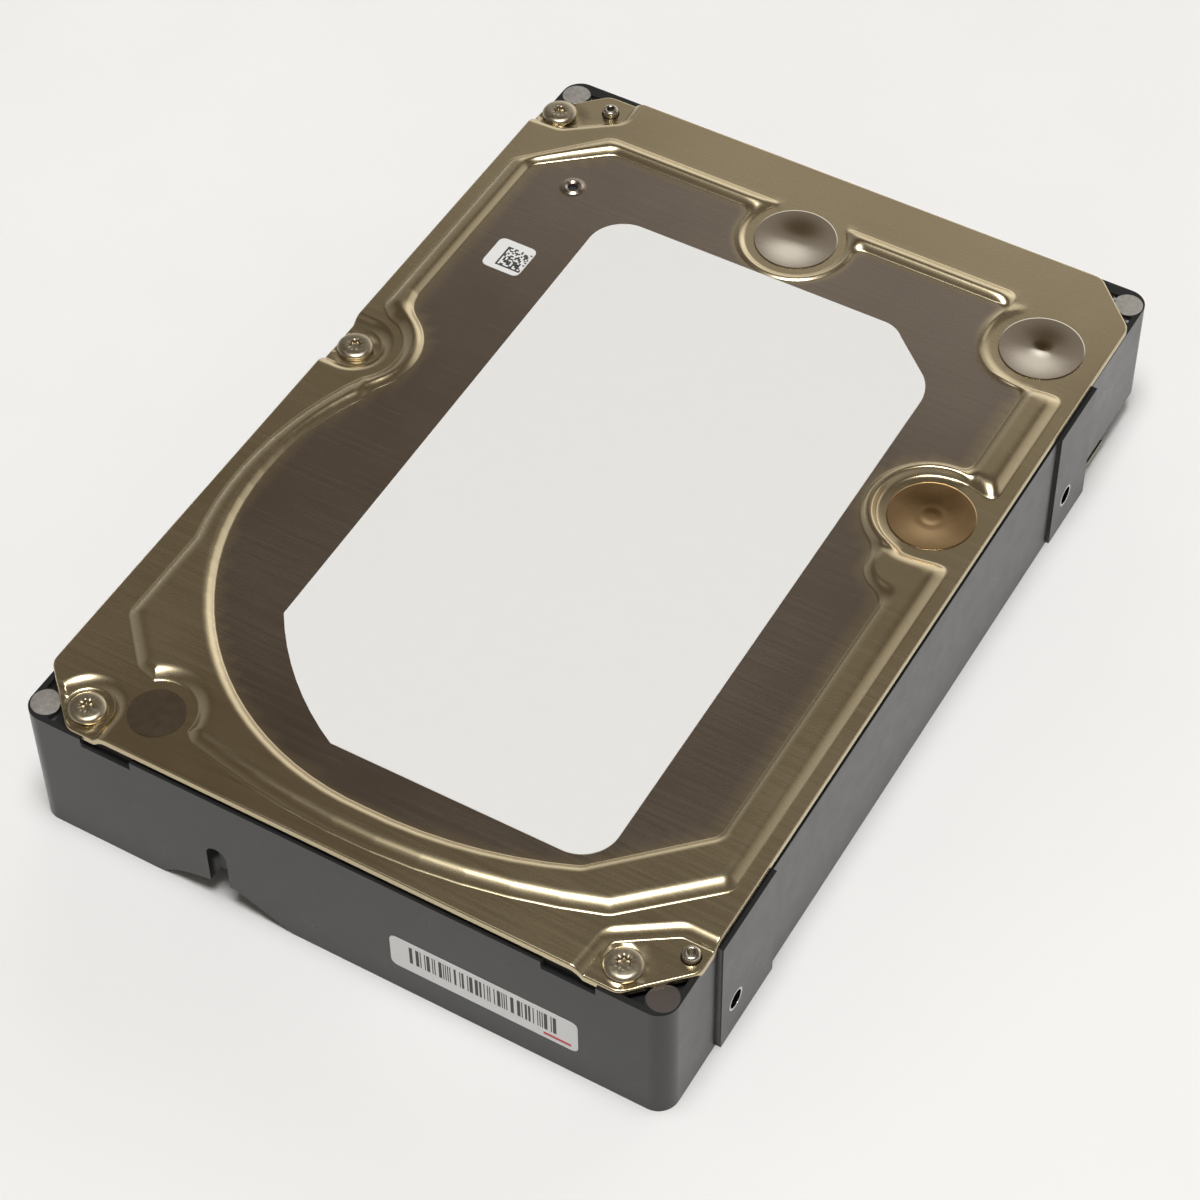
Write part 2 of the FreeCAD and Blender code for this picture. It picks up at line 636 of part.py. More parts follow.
def coil_frame():
    level = (COIL_Z - COIL_THICK / 2, COIL_Z + COIL_THICK / 2)
    neck = box((-15.2, -7.0), (-5.6, 5.6), level)
    neck = neck.cut(rod((0, 0), level, 7.9)).cut(plate(coil_plan(0), level))
    return group([at_pivot(neck), at_pivot(plate(coil_plan(3.0), level))])


# ---- Voice-coil motor ----

def yoke_plan():
    """Plan of a yoke plate, round the pivot in its final direction."""
    ears = [disc(polar(YOKE_POST_AT, a), 3.2) for a in YOKE_POSTS_DEG]
    return merge(sector(YOKE_R, YOKE_DEG), *ears)


def vcm_lower_yoke():
    level = (FLOOR_Z, FLOOR_Z + YOKE_THICK)
    yoke = at_pivot(plate(yoke_plan(), level), 0)
    return cut(yoke, [rod(at, level, 1.2) for at in YOKE_POST_PLACES])


def vcm_upper_yoke():
    low = COIL_Z + (COIL_Z - FLOOR_Z - YOKE_THICK)
    level = (low, low + YOKE_THICK - 0.4)
    yoke = at_pivot(plate(yoke_plan(), level), 0)
    return cut(yoke, [rod(at, level, 1.05) for at in YOKE_POST_PLACES])


def magnet(low):
    plan = sector((14.0, 29.3), (YOKE_DEG[0] + 9.5, YOKE_DEG[1] - 9.5))
    return at_pivot(plate(plan, (low, low + MAGNET_THICK)), 0)


def yoke_posts():
    low = FLOOR_Z + YOKE_THICK
    high = 2 * COIL_Z - low
    posts = []
    for at in YOKE_POST_PLACES:
        post = rod(at, (low, high), 2.1).fuse(rod(at, (4.2, low), 1.2)).removeSplitter()
        posts.append(post.cut(rod(at, (high - 4.0, high), 0.9)))
    return group(posts)


def vcm_screws():
    top = 2 * COIL_Z - FLOOR_Z - 0.4
    return group(torx_screw(at, top, 1.9, 0.8, 0.9, 5.0) for at in YOKE_POST_PLACES)


def crash_stops():
    return group(ring(at, (COIL_Z - 1.6, COIL_Z + 1.6), 2.8, 2.1) for at in YOKE_POST_PLACES)


# ---- Parking ramp, filter and flexible circuit ----

def load_ramp():
    bottom = FLOOR_Z
    top = CLAMP_Z + 0.9
    fingers = []
    for z in DISC_Z:
        finger = plate(sector((49.4, 52.2), (-22.5, -12.0)), (z - 0.5, z + DISC_THICK + 0.5))
        finger.translate(Vector(PIVOT[0], PIVOT[1], 0))
        fingers.append(finger)
    post = rod(RAMP_AT, (bottom, top), 2.4)
    ramp = join([post] + fingers)
    ramp = ramp.cut(rod(SPINDLE, (bottom, top), DISC_R + 0.7))
    return ramp.cut(rod(RAMP_AT, (bottom, top), 0.9))


def ramp_screw():
    return torx_screw(RAMP_AT, CLAMP_Z + 0.9, 1.7, 0.8, 0.8, 14.5)


def recirculation_filter():
    pad = box((-1.3, 1.3), (-5.0, 5.0), (FLOOR_Z, 19.0))
    pad.rotate(Vector(0, 0, 0), Vector(0, 0, 1), 36.9)
    centre = polar(51.3, 216.9, SPINDLE)
    pad.translate(Vector(centre[0], centre[1], 0))
    return pad


def head_connector():
    plug = box((14.1, 25.9), (44.1, 49.9), (BOARD_Z[1], FLOOR_Z))
    flange = box((12.6, 27.4), (42.6, 51.4), (FLOOR_Z, FLOOR_Z + 1.2))
    return plug.fuse(flange).removeSplitter()


def flex_cable():
    """A thin ribbon on edge, from the connector's flange to the side of the arm block."""
    thick = 0.12
    level = (FLOOR_Z + 1.2, 19.0)
    start = (16.0, 50.0)
    middle = (2.0, 47.6)
    end = (-9.4, 41.4)
    outer = path(start, (middle, end), (end[0] - 0.1, end[1] - thick),
                 ((middle[0] + 0.02, middle[1] - thick), (start[0], start[1] - thick)))
    return plate(outer, level)


# ---- Circuit board and what is on it ----

def board_outline():
    outline = path((-45.0, -8.0), (45.0, -8.0), (45.0, 53.0), (49.5, 53.0), (49.5, 62.0), (45.0, 62.0),
                   (45.0, 70.0), (-45.0, 70.0))
    return outline.cut(disc(SPINDLE, 20.0)).Faces[0]


def circuit_board():
    board = plate(board_outline(), BOARD_Z)
    return cut(board, [rod(at, BOARD_Z, 1.1) for at in BOARD_SCREWS])


def board_insulator():
    level = (FLOOR_UNDER_Z - 0.4, FLOOR_UNDER_Z)
    sheet = box((-43.5, 43.5), (-1.0, 61.0), level)
    tools = [rod(at, level, 3.3) for at in BOARD_SCREWS]
    tools.append(rod(PIVOT, level, 3.2))
    tools.append(box((13.0, 27.0), (43.0, 51.0), level))
    return cut(sheet, tools)


def board_screws():
    return group(torx_screw(at, BOARD_Z[0], 2.2, 0.55, 0.9, 3.4, down=False) for at in BOARD_SCREWS)


def chip(x, y, height):
    return box(x, y, (BOARD_Z[1], BOARD_Z[1] + height))


def sata_plug():
    shell = box(SATA_X, (PLUG_FRONT_Y, REAR_Y), (BOARD_Z[1], PLUG_TOP_Z))
    mouth = box((SATA_X[0] + 1.2, SATA_X[1] - 1.2), (66.5, REAR_Y), (BOARD_Z[1] + 0.9, PLUG_TOP_Z - 0.9))
    bridge = box((-14.6, -13.2), (66.5, REAR_Y), (BOARD_Z[1] + 0.9, PLUG_TOP_Z - 0.9))
    solids = [shell.cut(mouth), bridge]
    for low, high in SATA_TONGUES:
        solids.append(box((low, high), (66.5, REAR_Y - 0.6), (3.6, 4.8)))
        solids.append(box((low, low + 1.2), (66.5, REAR_Y - 0.6), (3.6, 6.2)))
    return join(solids)


def sata_contacts():
    pads = []
    for (low, high), count in zip(SATA_TONGUES, (15, 7)):
        for i in range(count):
            x = low + 1.95 + 1.27 * i
            pads.append(box((x - 0.35, x + 0.35), (67.0, REAR_Y - 1.2), (4.8, 4.95)))
    return group(pads)


def jumper_shell():
    shell = box(JUMPER_X, (PLUG_FRONT_Y, REAR_Y), (BOARD_Z[1], PLUG_TOP_Z))
    mouth = box((JUMPER_X[0] + 0.9, JUMPER_X[1] - 0.9), (66.0, REAR_Y), (BOARD_Z[1] + 0.8, PLUG_TOP_Z - 0.8))
    return shell.cut(mouth)


def jumper_pins():
    pins = []
    for column in range(4):
        for row in range(2):
            x = 10.0 + 2.0 * column
            z = 3.45 + 2.0 * row
            pins.append(box((x - 0.25, x + 0.25), (66.0, 72.0), (z - 0.25, z + 0.25)))
    return group(pins)


def motor_flex():
    return box((-4.0, 4.0), (-16.0, 0.5), (2.4, 2.6))


def motor_contacts():
    return box((-4.0, 4.0), (-1.9, 0.1), (BOARD_Z[1], 2.4))


# ---- Every piece, by the name of its file ----

pieces = {
    "base_casting": base_casting(),
    "top_cover": top_cover(),
    "cover_gasket": cover_gasket(),
    "cover_screws": cover_screws(),
    "locating_pins": locating_pins(),
    "foil_seals": group(rod(at, (LAND_Z, LAND_Z + 0.12), SEAL_R) for at in SEALED_SCREWS),
    "dark_seal": rod(TOOLING_HOLE, (LAND_Z, LAND_Z + 0.1), 4.0),
    "top_label": top_label(),
    "code_label": code_label(),
    "front_label": front_label(),
    "breather_filter": breather_filter(),
    "motor_bracket": motor_bracket(),
    "spindle_shaft": spindle_shaft(),
    "stator_core": stator_core(),
    "stator_windings": stator_windings(),
    "spindle_hub": spindle_hub(),
    "rotor_magnet": rotor_magnet(),
    "platter_1": platter(0),
    "platter_2": platter(1),
    "platter_3": platter(2),
    "platter_spacers": platter_spacers(),
    "disk_clamp": disk_clamp(),
    "clamp_screws": clamp_screws(),
    "pivot_shaft": pivot_shaft(),
    "pivot_bearings": pivot_bearings(),
    "pivot_sleeve": pivot_sleeve(),
    "arm_block": arm_block(),
    "suspensions": suspensions(),
    "head_sliders": head_sliders(),
    "voice_coil": voice_coil(),
    "coil_frame": coil_frame(),
    "vcm_lower_yoke": vcm_lower_yoke(),
    "vcm_upper_yoke": vcm_upper_yoke(),
    "lower_magnet": magnet(FLOOR_Z + YOKE_THICK),
    "upper_magnet": magnet(2 * COIL_Z - FLOOR_Z - YOKE_THICK - MAGNET_THICK),
    "yoke_posts": yoke_posts(),
    "vcm_screws": vcm_screws(),
    "crash_stops": crash_stops(),
    "load_ramp": load_ramp(),
    "ramp_screw": ramp_screw(),
    "recirculation_filter": recirculation_filter(),
    "head_connector": head_connector(),
    "flex_cable": flex_cable(),
    "circuit_board": circuit_board(),
    "board_insulator": board_insulator(),
    "board_screws": board_screws(),
    "controller_chip": chip((14.0, 28.0), (14.0, 28.0), 1.3),
    "memory_chip": chip((-2.0, 8.0), (24.0, 32.0), 1.0),
    "motor_driver_chip": chip((-20.0, -12.0), (8.0, 16.0), 1.0),
    "sata_plug": sata_plug(),
    "sata_contacts": sata_contacts(),
    "jumper_shell": jumper_shell(),
    "jumper_pins": jumper_pins(),
    "motor_flex": motor_flex(),
    "motor_contacts": motor_contacts(),
}

for name, shape in pieces.items():
    shape.exportStep("parts/" + name + ".step")
    print(name, len(shape.Solids), round(shape.Volume, 1))
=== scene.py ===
import json
import math
import random

import bmesh
import bpy
import numpy as np
from mathutils import Matrix, Vector
from mathutils.geometry import delaunay_2d_cdt


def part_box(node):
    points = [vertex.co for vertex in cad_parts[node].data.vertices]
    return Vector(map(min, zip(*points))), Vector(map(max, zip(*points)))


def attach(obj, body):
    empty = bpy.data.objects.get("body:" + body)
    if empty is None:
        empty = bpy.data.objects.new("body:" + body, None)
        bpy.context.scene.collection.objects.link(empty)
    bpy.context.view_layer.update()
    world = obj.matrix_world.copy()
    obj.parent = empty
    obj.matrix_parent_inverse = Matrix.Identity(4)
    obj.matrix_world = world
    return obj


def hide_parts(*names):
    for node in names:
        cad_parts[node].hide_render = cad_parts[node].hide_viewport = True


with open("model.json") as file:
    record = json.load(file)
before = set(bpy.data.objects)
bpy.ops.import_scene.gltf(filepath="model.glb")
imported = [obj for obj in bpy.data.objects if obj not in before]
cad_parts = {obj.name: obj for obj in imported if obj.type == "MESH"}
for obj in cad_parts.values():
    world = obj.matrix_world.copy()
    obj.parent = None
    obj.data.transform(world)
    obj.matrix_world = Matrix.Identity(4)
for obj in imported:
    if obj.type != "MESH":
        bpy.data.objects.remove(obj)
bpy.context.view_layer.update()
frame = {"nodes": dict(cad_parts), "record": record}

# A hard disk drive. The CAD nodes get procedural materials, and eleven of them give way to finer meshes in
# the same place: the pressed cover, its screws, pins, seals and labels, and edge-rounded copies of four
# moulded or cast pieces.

MM = 0.001
scene = bpy.context.scene

# Levels of the cover's upper face above the bottom of the casting, in mm.
SEAT_Z = 23.1
LAND_Z = 24.2
FIELD_Z = 24.4
RIDGE_Z = 25.4
DIMPLE_Z = 23.5

# Thicknesses of the cover and of a label.
SHEET = 0.7
LABEL_THICK = 0.1

# Places on the cover, in mm from the drive's middle, and radii round them.
POCKET_SCREWS = ((-41.6, -69.1), (41.2, -69.1), (-47.2, 5.5), (-47.2, 64.5))
SEALED_SCREWS = ((-1.2, 56.7), (40.9, 54.1), (41.5, 16.8))
LABEL_SCREWS = ((0.0, -22.3), (-14.0, 32.0))
LOCATING_PINS = ((47.9, -63.7), (-40.3, 68.5))
TOOLING_HOLE = (-32.6, -65.7)
BREATHER = (-36.2, 49.9)
SEAL_R = 6.35
SEALED_POCKET_R = 3.8

# Heights of the screw heads: those in open pockets, and those under a seal or the label.
OPEN_HEAD = 0.9
LOW_HEAD = 0.6

# Radii of the holes through the cover.
SCREW_HOLE_R = 1.35
PIN_HOLE_R = 1.4
TOOLING_HOLE_R = 2.5
BREATHER_HOLE_R = 0.8

# Places on the casting that differ from its paint, in mm.
# Painted shade: above this level, and in the front notches, the casting's upward faces are painted
# near-black.
SHADED_ABOVE = 20.8
NOTCH_Y = (-73.2, -72.0)
NOTCH_HALF_WIDTH = 42.0
POST_AT = (47.6, 70.4)
POST_TOP_ABOVE = 22.33
POST_BARE_R = 2.2
DULL_POST_X = 44.0
DULL_POST_Y = -66.0
SIDE_FACE_X = 50.1
SIDE_HOLES_Y = (45.0, -56.6)
SIDE_HOLE_Z = 6.35
SIDE_HOLE_RING_R = 1.75


# ---- Camera, fitted to points measured in the photograph ----

AZIMUTH = math.radians(30.453)
ELEVATION = math.radians(48.842)
ROLL = math.radians(-0.62)
AIM = Vector((0.0, 0.0, 0.01305))
DISTANCE = 0.48172

toward = Vector((math.sin(AZIMUTH) * math.cos(ELEVATION), -math.cos(AZIMUTH) * math.cos(ELEVATION),
                 math.sin(ELEVATION)))
right = Vector((math.cos(AZIMUTH), math.sin(AZIMUTH), 0.0))
up = toward.cross(right)
right_rolled = right * math.cos(ROLL) + up * math.sin(ROLL)
up_rolled = up * math.cos(ROLL) - right * math.sin(ROLL)
camera_data = bpy.data.cameras.new("camera")
camera_data.sensor_width = 36.0
camera_data.lens = 100.52
camera_data.shift_x = -0.01274
camera_data.shift_y = -0.05263
camera_data.clip_start = 0.01
camera_data.clip_end = 20.0
camera = bpy.data.objects.new("camera", camera_data)
scene.collection.objects.link(camera)
axes = Matrix((right_rolled, up_rolled, toward)).transposed().to_4x4()
camera.matrix_world = Matrix.Translation(AIM + toward * DISTANCE) @ axes
scene.camera = camera


# ---- Materials ----

class Nodes:
    """A material being built: short calls that add a node and link it."""

    def __init__(self, name):
        self.material = bpy.data.materials.new(name)
        self.material.use_nodes = True
        self.tree = self.material.node_tree
        self.shader = next(n for n in self.tree.nodes if n.type == "BSDF_PRINCIPLED")
        coordinates = self.tree.nodes.new("ShaderNodeTexCoord")
        self.place = coordinates.outputs["Object"]

    def node(self, kind, inputs=None, **settings):
        made = self.tree.nodes.new("ShaderNode" + kind)
        for key, value in settings.items():
            setattr(made, key, value)
        for key, value in (inputs or {}).items():
            self.plug(made.inputs[key], value)
        return made

    def plug(self, socket, value):
        if isinstance(value, bpy.types.NodeSocket):
            self.tree.links.new(value, socket)
        else:
            socket.default_value = value

    def math(self, operation, *values):
        return self.node("Math", dict(enumerate(values)), operation=operation).outputs[0]

    def above(self, value, limit):
        return self.math("GREATER_THAN", value, limit)

    def below(self, value, limit):
        return self.math("LESS_THAN", value, limit)

    def all_of(self, first, *others):
        """A mask that is 1 only where every mask given is 1."""
        for other in others:
            first = self.math("MULTIPLY", first, other)
        return first

    def length(self, a, b):
        """The long side of a right-angled triangle with these short sides."""
        return self.math("SQRT", self.math("ADD", self.math("MULTIPLY", a, a), self.math("MULTIPLY", b, b)))

    def upward(self, kind):
        """The vertical part of the normal."""
        return self.node("SeparateXYZ", {"Vector": self.node("NewGeometry").outputs[kind]}).outputs["Z"]

    def noise(self, scale, stretch=(1, 1, 1), detail=4.0, rough=0.5):
        where = self.place
        if stretch != (1, 1, 1):
            where = self.node("Mapping", {"Vector": self.place, "Scale": stretch}).outputs[0]
        inputs = {"Vector": where, "Scale": scale, "Detail": detail, "Roughness": rough}
        return self.node("TexNoise", inputs).outputs["Fac"]

    def spread(self, value, low, high):
        """Noise, most of which lies between 0.3 and 0.7, stretched to run from low to high."""
        inputs = {"Value": value, "From Min": 0.3, "From Max": 0.7, "To Min": low, "To Max": high}
        return self.node("MapRange", inputs).outputs["Result"]

    def mix(self, factor, first, second):
        made = self.node("Mix", data_type="RGBA")
        colours = [s for s in made.inputs if s.type == "RGBA"]
        self.plug(made.inputs[0], factor)
        self.plug(colours[0], first)
        self.plug(colours[1], second)
        return next(s for s in made.outputs if s.type == "RGBA")

    def bump(self, height, strength, distance, normal=None):
        inputs = {"Height": height, "Strength": strength, "Distance": distance}
        if normal is not None:
            inputs["Normal"] = normal
        return self.node("Bump", inputs).outputs["Normal"]

    def set(self, **values):
        for key, value in values.items():
            self.plug(self.shader.inputs[key.replace("_", " ")], value)
        return self.material


def shade(colour, factor):
    return (colour[0] * factor, colour[1] * factor, colour[2] * factor, 1.0)


def plain_material(name, colour, metallic, roughness, grain, contrast=0.2, depth=0.00002, stretch=(1, 1, 1),
                   coat=0.0):
    """Colour that varies in soft clouds, roughness that varies at the grain's size, and the grain's bump."""
    n = Nodes(name)
    clouds = n.spread(n.noise(grain * 0.12), 0.0, 1.0)
    fine = n.noise(grain, stretch, 5.0, 0.6)
    base = n.mix(clouds, shade(colour, 1 - contrast), shade(colour, 1 + contrast * 0.5))
    rough = n.spread(fine, roughness * 0.8, roughness * 1.2)
    return n.set(Base_Color=base, Metallic=metallic, Roughness=rough, Coat_Weight=coat,
                 Normal=n.bump(fine, 0.6, depth))


def cover_material():
    """Satin rolled steel: warm land and ridge, a darker field, faint rolling lines across the drive."""
    n = Nodes("cover_steel")
    part = n.node("Attribute", attribute_name="field").outputs["Fac"]
    lines = n.noise(1500, (0.035, 1.0, 0.3), 5.0, 0.65)
    clouds = n.noise(28, detail=3.0)
    land = n.mix(n.spread(clouds, 0.0, 1.0), (0.54, 0.45, 0.285, 1), (0.62, 0.53, 0.345, 1))
    sunk = n.mix(n.spread(clouds, 0.0, 1.0), (0.345, 0.29, 0.24, 1), (0.405, 0.345, 0.285, 1))
    base = n.mix(part, land, sunk)
    base = n.mix(n.spread(lines, 0.0, 0.10), base, (0.28, 0.25, 0.20, 1))
    rough = n.math("ADD", n.spread(lines, 0.23, 0.27), n.spread(clouds, 0.0, 0.03))
    return n.set(Base_Color=base, Metallic=1.0, Roughness=rough, Normal=n.bump(lines, 0.2, 0.000004))


def casting_material():
    """Black paint with painted shade under the cover's edge, bare on the corner posts and round the side
    holes.
    """
    n = Nodes("casting_paint")
    grain = n.noise(2600, detail=3.0)
    lumps = n.noise(300, detail=3.0)
    clouds = n.noise(40, detail=4.0)
    paint = n.mix(n.spread(clouds, 0.0, 1.0), (0.014, 0.014, 0.014, 1), (0.022, 0.021, 0.020, 1))
    place = n.node("SeparateXYZ", {"Vector": n.place})
    across, along, level = (place.outputs[axis] for axis in "XYZ")
    aside = n.math("ABSOLUTE", across)
    upward = n.above(n.upward("True Normal"), 0.9)

    # Painted shade: upward rim faces and the front notches under the cover's edge get near-black, rougher
    # paint.
    high = n.above(level, SHADED_ABOVE * MM)
    notch = n.all_of(high, n.above(along, NOTCH_Y[0] * MM), n.below(along, NOTCH_Y[1] * MM),
                     n.below(aside, NOTCH_HALF_WIDTH * MM))
    shaded = n.math("MAXIMUM", n.all_of(high, upward), notch)

    dx = n.math("SUBTRACT", aside, POST_AT[0] * MM)
    dy = n.math("SUBTRACT", n.math("ABSOLUTE", along), POST_AT[1] * MM)
    post = n.all_of(n.above(level, POST_TOP_ABOVE * MM), n.below(n.length(dx, dy), POST_BARE_R * MM), upward)
    ring = n.all_of(n.above(aside, SIDE_FACE_X * MM),
                    n.below(side_hole_distance(n, along, level), SIDE_HOLE_RING_R * MM))
    bare = n.math("MAXIMUM", post, ring)

    metal = n.mix(n.spread(n.noise(1500), 0.0, 1.0), (0.44, 0.43, 0.40, 1), (0.60, 0.59, 0.55, 1))
    dull = n.all_of(n.above(across, DULL_POST_X * MM), n.below(along, DULL_POST_Y * MM), upward)
    metal = n.mix(dull, metal, (0.13, 0.11, 0.10, 1))
    # The near-black colour mixed in here is painted shade.
    base = n.mix(bare, n.mix(shaded, paint, (0.004, 0.004, 0.004, 1)), metal)
    rough = n.math("ADD", n.spread(lumps, 0.27, 0.32), n.math("MULTIPLY", shaded, 0.5))
    rough = n.math("SUBTRACT", rough, n.math("MULTIPLY", bare, 0.35))
    bumps = n.bump(lumps, 0.1, 0.000012, n.bump(grain, 0.2, 0.000006))
    return n.set(Base_Color=base, Metallic=bare, Roughness=rough, Normal=bumps)


def side_hole_distance(n, along, level):
    """How far a place on a side face is from the nearer of its two screw holes."""
    rear, front = SIDE_HOLES_Y
    from_middle = n.math("ABSOLUTE", n.math("SUBTRACT", along, (rear + front) / 2 * MM))
    dy = n.math("SUBTRACT", from_middle, (rear - front) / 2 * MM)
    return n.length(dy, n.math("SUBTRACT", level, SIDE_HOLE_Z * MM))


def board_material():
    """Green mask with faint tracks and solder pads on both faces, and brown glass fibre at the cut edges."""
    n = Nodes("board_green")
    face = n.above(n.math("ABSOLUTE", n.upward("Normal")), 0.5)
    brick = {"Vector": n.place, "Scale": 260.0, "Color1": (0, 0, 0, 1), "Color2": (0.5, 0.5, 0.5, 1),
             "Mortar": (1, 1, 1, 1), "Mortar Size": 0.035, "Brick Width": 1.6}
    cells = n.node("TexBrick", brick).outputs["Color"]
    clouds = n.spread(n.noise(90), 0.0, 1.0)
    mask = n.mix(clouds, (0.012, 0.075, 0.042, 1), (0.018, 0.10, 0.055, 1))
    tracks = n.mix(n.math("MULTIPLY", cells, 0.55), mask, (0.05, 0.19, 0.10, 1))
    dots = n.node("TexVoronoi", {"Vector": n.place, "Scale": 330.0, "Randomness": 0.85}).outputs["Distance"]
    pads = n.all_of(n.below(dots, 0.16), n.above(n.noise(70, detail=1.0), 0.5))
    tracks = n.mix(pads, tracks, (0.42, 0.40, 0.36, 1))
    fibres = n.spread(n.noise(3000, (1, 1, 0.2)), 0.0, 1.0)
    weave = n.mix(fibres, (0.20, 0.145, 0.055, 1), (0.33, 0.26, 0.11, 1))
    return n.set(Base_Color=n.mix(face, weave, tracks), Metallic=0.0, Roughness=n.spread(clouds, 0.28, 0.36),
                 Coat_Weight=0.3, Normal=n.bump(cells, 0.3, 0.00002))


library = {
    "cover_steel": cover_material(),
    "casting_paint": casting_material(),
    "board_green": board_material(),
}
# Colours are the record's, apart from those matched more closely to the photograph.
COLOURS = {row["slot"]: row["base_color"] for row in frame["record"]["materials"]}
COLOURS |= {
    "screw_steel": (0.47, 0.41, 0.30),
    "seal_foil": (0.80, 0.74, 0.63),
    "dark_film": (0.048, 0.032, 0.016),
    "bright_steel": (0.50, 0.46, 0.38),
    "label_film": (0.78, 0.78, 0.765),
}
RECIPES = {
    # slot: metallic, roughness, grain, contrast, depth, stretch, coat
    "screw_steel": (1.0, 0.33, 1800, 0.2, 0.000004, (1, 1, 1), 0.0),
    "bright_steel": (1.0, 0.26, 1500, 0.15, 0.00001, (1, 1, 0.1), 0.0),
    "gasket_rubber": (0.0, 0.70, 2500, 0.3, 0.00003, (1, 1, 1), 0.0),
    "seal_foil": (1.0, 0.07, 300, 0.04, 0.00001, (1, 1, 1), 0.0),
    "dark_film": (0.0, 0.38, 900, 0.15, 0.000005, (1, 1, 1), 0.0),
    "label_film": (0.0, 0.42, 3000, 0.006, 0.000003, (1, 1, 1), 0.0),
    "machined_aluminium": (1.0, 0.28, 1600, 0.15, 0.00001, (0.2, 1, 1), 0.0),
    "disc_mirror": (1.0, 0.04, 300, 0.04, 0.000002, (1, 1, 1), 0.0),
    "stator_steel": (1.0, 0.40, 4000, 0.3, 0.00002, (0.05, 0.05, 1), 0.0),
    "copper_wire": (1.0, 0.25, 4000, 0.3, 0.00004, (0.05, 0.05, 1), 0.5),
    "magnet_nickel": (1.0, 0.20, 1500, 0.1, 0.00001, (1, 1, 1), 0.0),
    "black_plastic": (0.0, 0.45, 2500, 0.25, 0.00002, (1, 1, 1), 0.0),
    "ramp_plastic": (0.0, 0.40, 2000, 0.06, 0.00001, (1, 1, 1), 0.0),
    "slider_ceramic": (0.0, 0.20, 3000, 0.2, 0.00001, (1, 1, 1), 0.4),
    "contact_gold": (1.0, 0.22, 2500, 0.1, 0.00001, (1, 1, 1), 0.0),
    "flex_amber": (0.0, 0.25, 1500, 0.2, 0.00001, (1, 1, 1), 0.5),
    "filter_cloth": (0.0, 0.90, 5000, 0.12, 0.00006, (1, 1, 1), 0.0),
    "foam_black": (0.0, 0.85, 3500, 0.3, 0.00006, (1, 1, 1), 0.0),
}
for name, recipe in RECIPES.items():
    library[name] = plain_material(name, COLOURS[name], *recipe)
ink = plain_material("label_ink", (0.02, 0.02, 0.02), 0.0, 0.45, 3000, 0.2)
red_ink = plain_material("red_ink", (0.62, 0.03, 0.06), 0.0, 0.45, 3000, 0.15)


# ---- Outlines and levels of the cover, in mm ----

# Arcs are cut into steps of at most this turn.
ARC_STEP = math.radians(4)

# Corners that turn by less than this are left as they are, and the others get this many steps.
LEAST_CORNER = math.radians(12)
CORNER_STEPS = 8


def outline(start, *steps):
    """Points round a closed line. A step is a point, or a (middle, end) pair for an arc."""
    points = [Vector(start)]
    for step in steps:
        if not isinstance(step[0], tuple):
            points.append(Vector(step))
            continue
        a, b, c = points[-1], Vector(step[0]), Vector(step[1])
        ab, ca = b - a, c - a
        cross = 2 * (ab.x * ca.y - ab.y * ca.x)
        away = Vector((ca.y * ab.dot(ab) - ab.y * ca.dot(ca), ab.x * ca.dot(ca) - ca.x * ab.dot(ab)))
        centre = a + away / cross
        spoke = a - centre
        turn = spoke.angle_signed(b - centre) + (b - centre).angle_signed(c - centre)
        count = max(2, math.ceil(abs(turn) / ARC_STEP))
        for i in range(1, count + 1):
            points.append(centre + Matrix.Rotation(-turn * i / count, 2) @ spoke)
    return points


def soften(points, radius):
    """The closed line with each real corner rounded."""
    soft = []
    for i, here in enumerate(points):
        back = points[i - 1] - here
        ahead = points[(i + 1) % len(points)] - here
        turn = math.pi - back.angle(ahead)
        if turn < LEAST_CORNER:
            soft.append(here)
            continue
        reach = min(radius * math.tan(turn / 2), back.length * 0.45, ahead.length * 0.45)
        first, last = here + back.normalized() * reach, here + ahead.normalized() * reach
        for k in range(CORNER_STEPS + 1):
            t = k / CORNER_STEPS
            soft.append(first * (1 - t) ** 2 + here * 2 * t * (1 - t) + last * t * t)
    return soft


def circle(at, radius, count=48):
    angles = [2 * math.pi * i / count for i in range(count)]
    return [Vector((at[0] + radius * math.cos(a), at[1] + radius * math.sin(a))) for a in angles]


def signed_distance(points, x, y):
    """How far each place is from a closed line, negative inside it."""
    nearest = np.full(x.shape, 1e9)
    inside = np.zeros(x.shape, bool)
    for i, b in enumerate(points):
        a = points[i - 1]
        ex, ey = b.x - a.x, b.y - a.y
        along = np.clip(((x - a.x) * ex + (y - a.y) * ey) / max(ex * ex + ey * ey, 1e-12), 0, 1)
        nearest = np.minimum(nearest, np.hypot(x - a.x - along * ex, y - a.y - along * ey))
        if ey:
            inside ^= ((a.y > y) != (b.y > y)) & (x < a.x + (y - a.y) * ex / ey)
    return np.where(inside, -nearest, nearest)


def radius_from(at, x, y):
    """How far each place is from a point."""
    return np.hypot(x - at[0], y - at[1])


def smooth_max(a, b, blend):
    """The larger value, with the crossing rounded over the blend."""
    near = np.maximum(blend - np.abs(a - b), 0) / blend
    return np.maximum(a, b) + near * near * blend / 4


def pressed(t, foot=0.15):
    """Height across a pressed slope, 0 to 1: a tight bend at the foot and a wide one at the top."""
    t = np.clip(t, 0, 1)
    return np.where(t < foot, t * t / foot, 1 - (1 - t) ** 2 / (1 - foot))


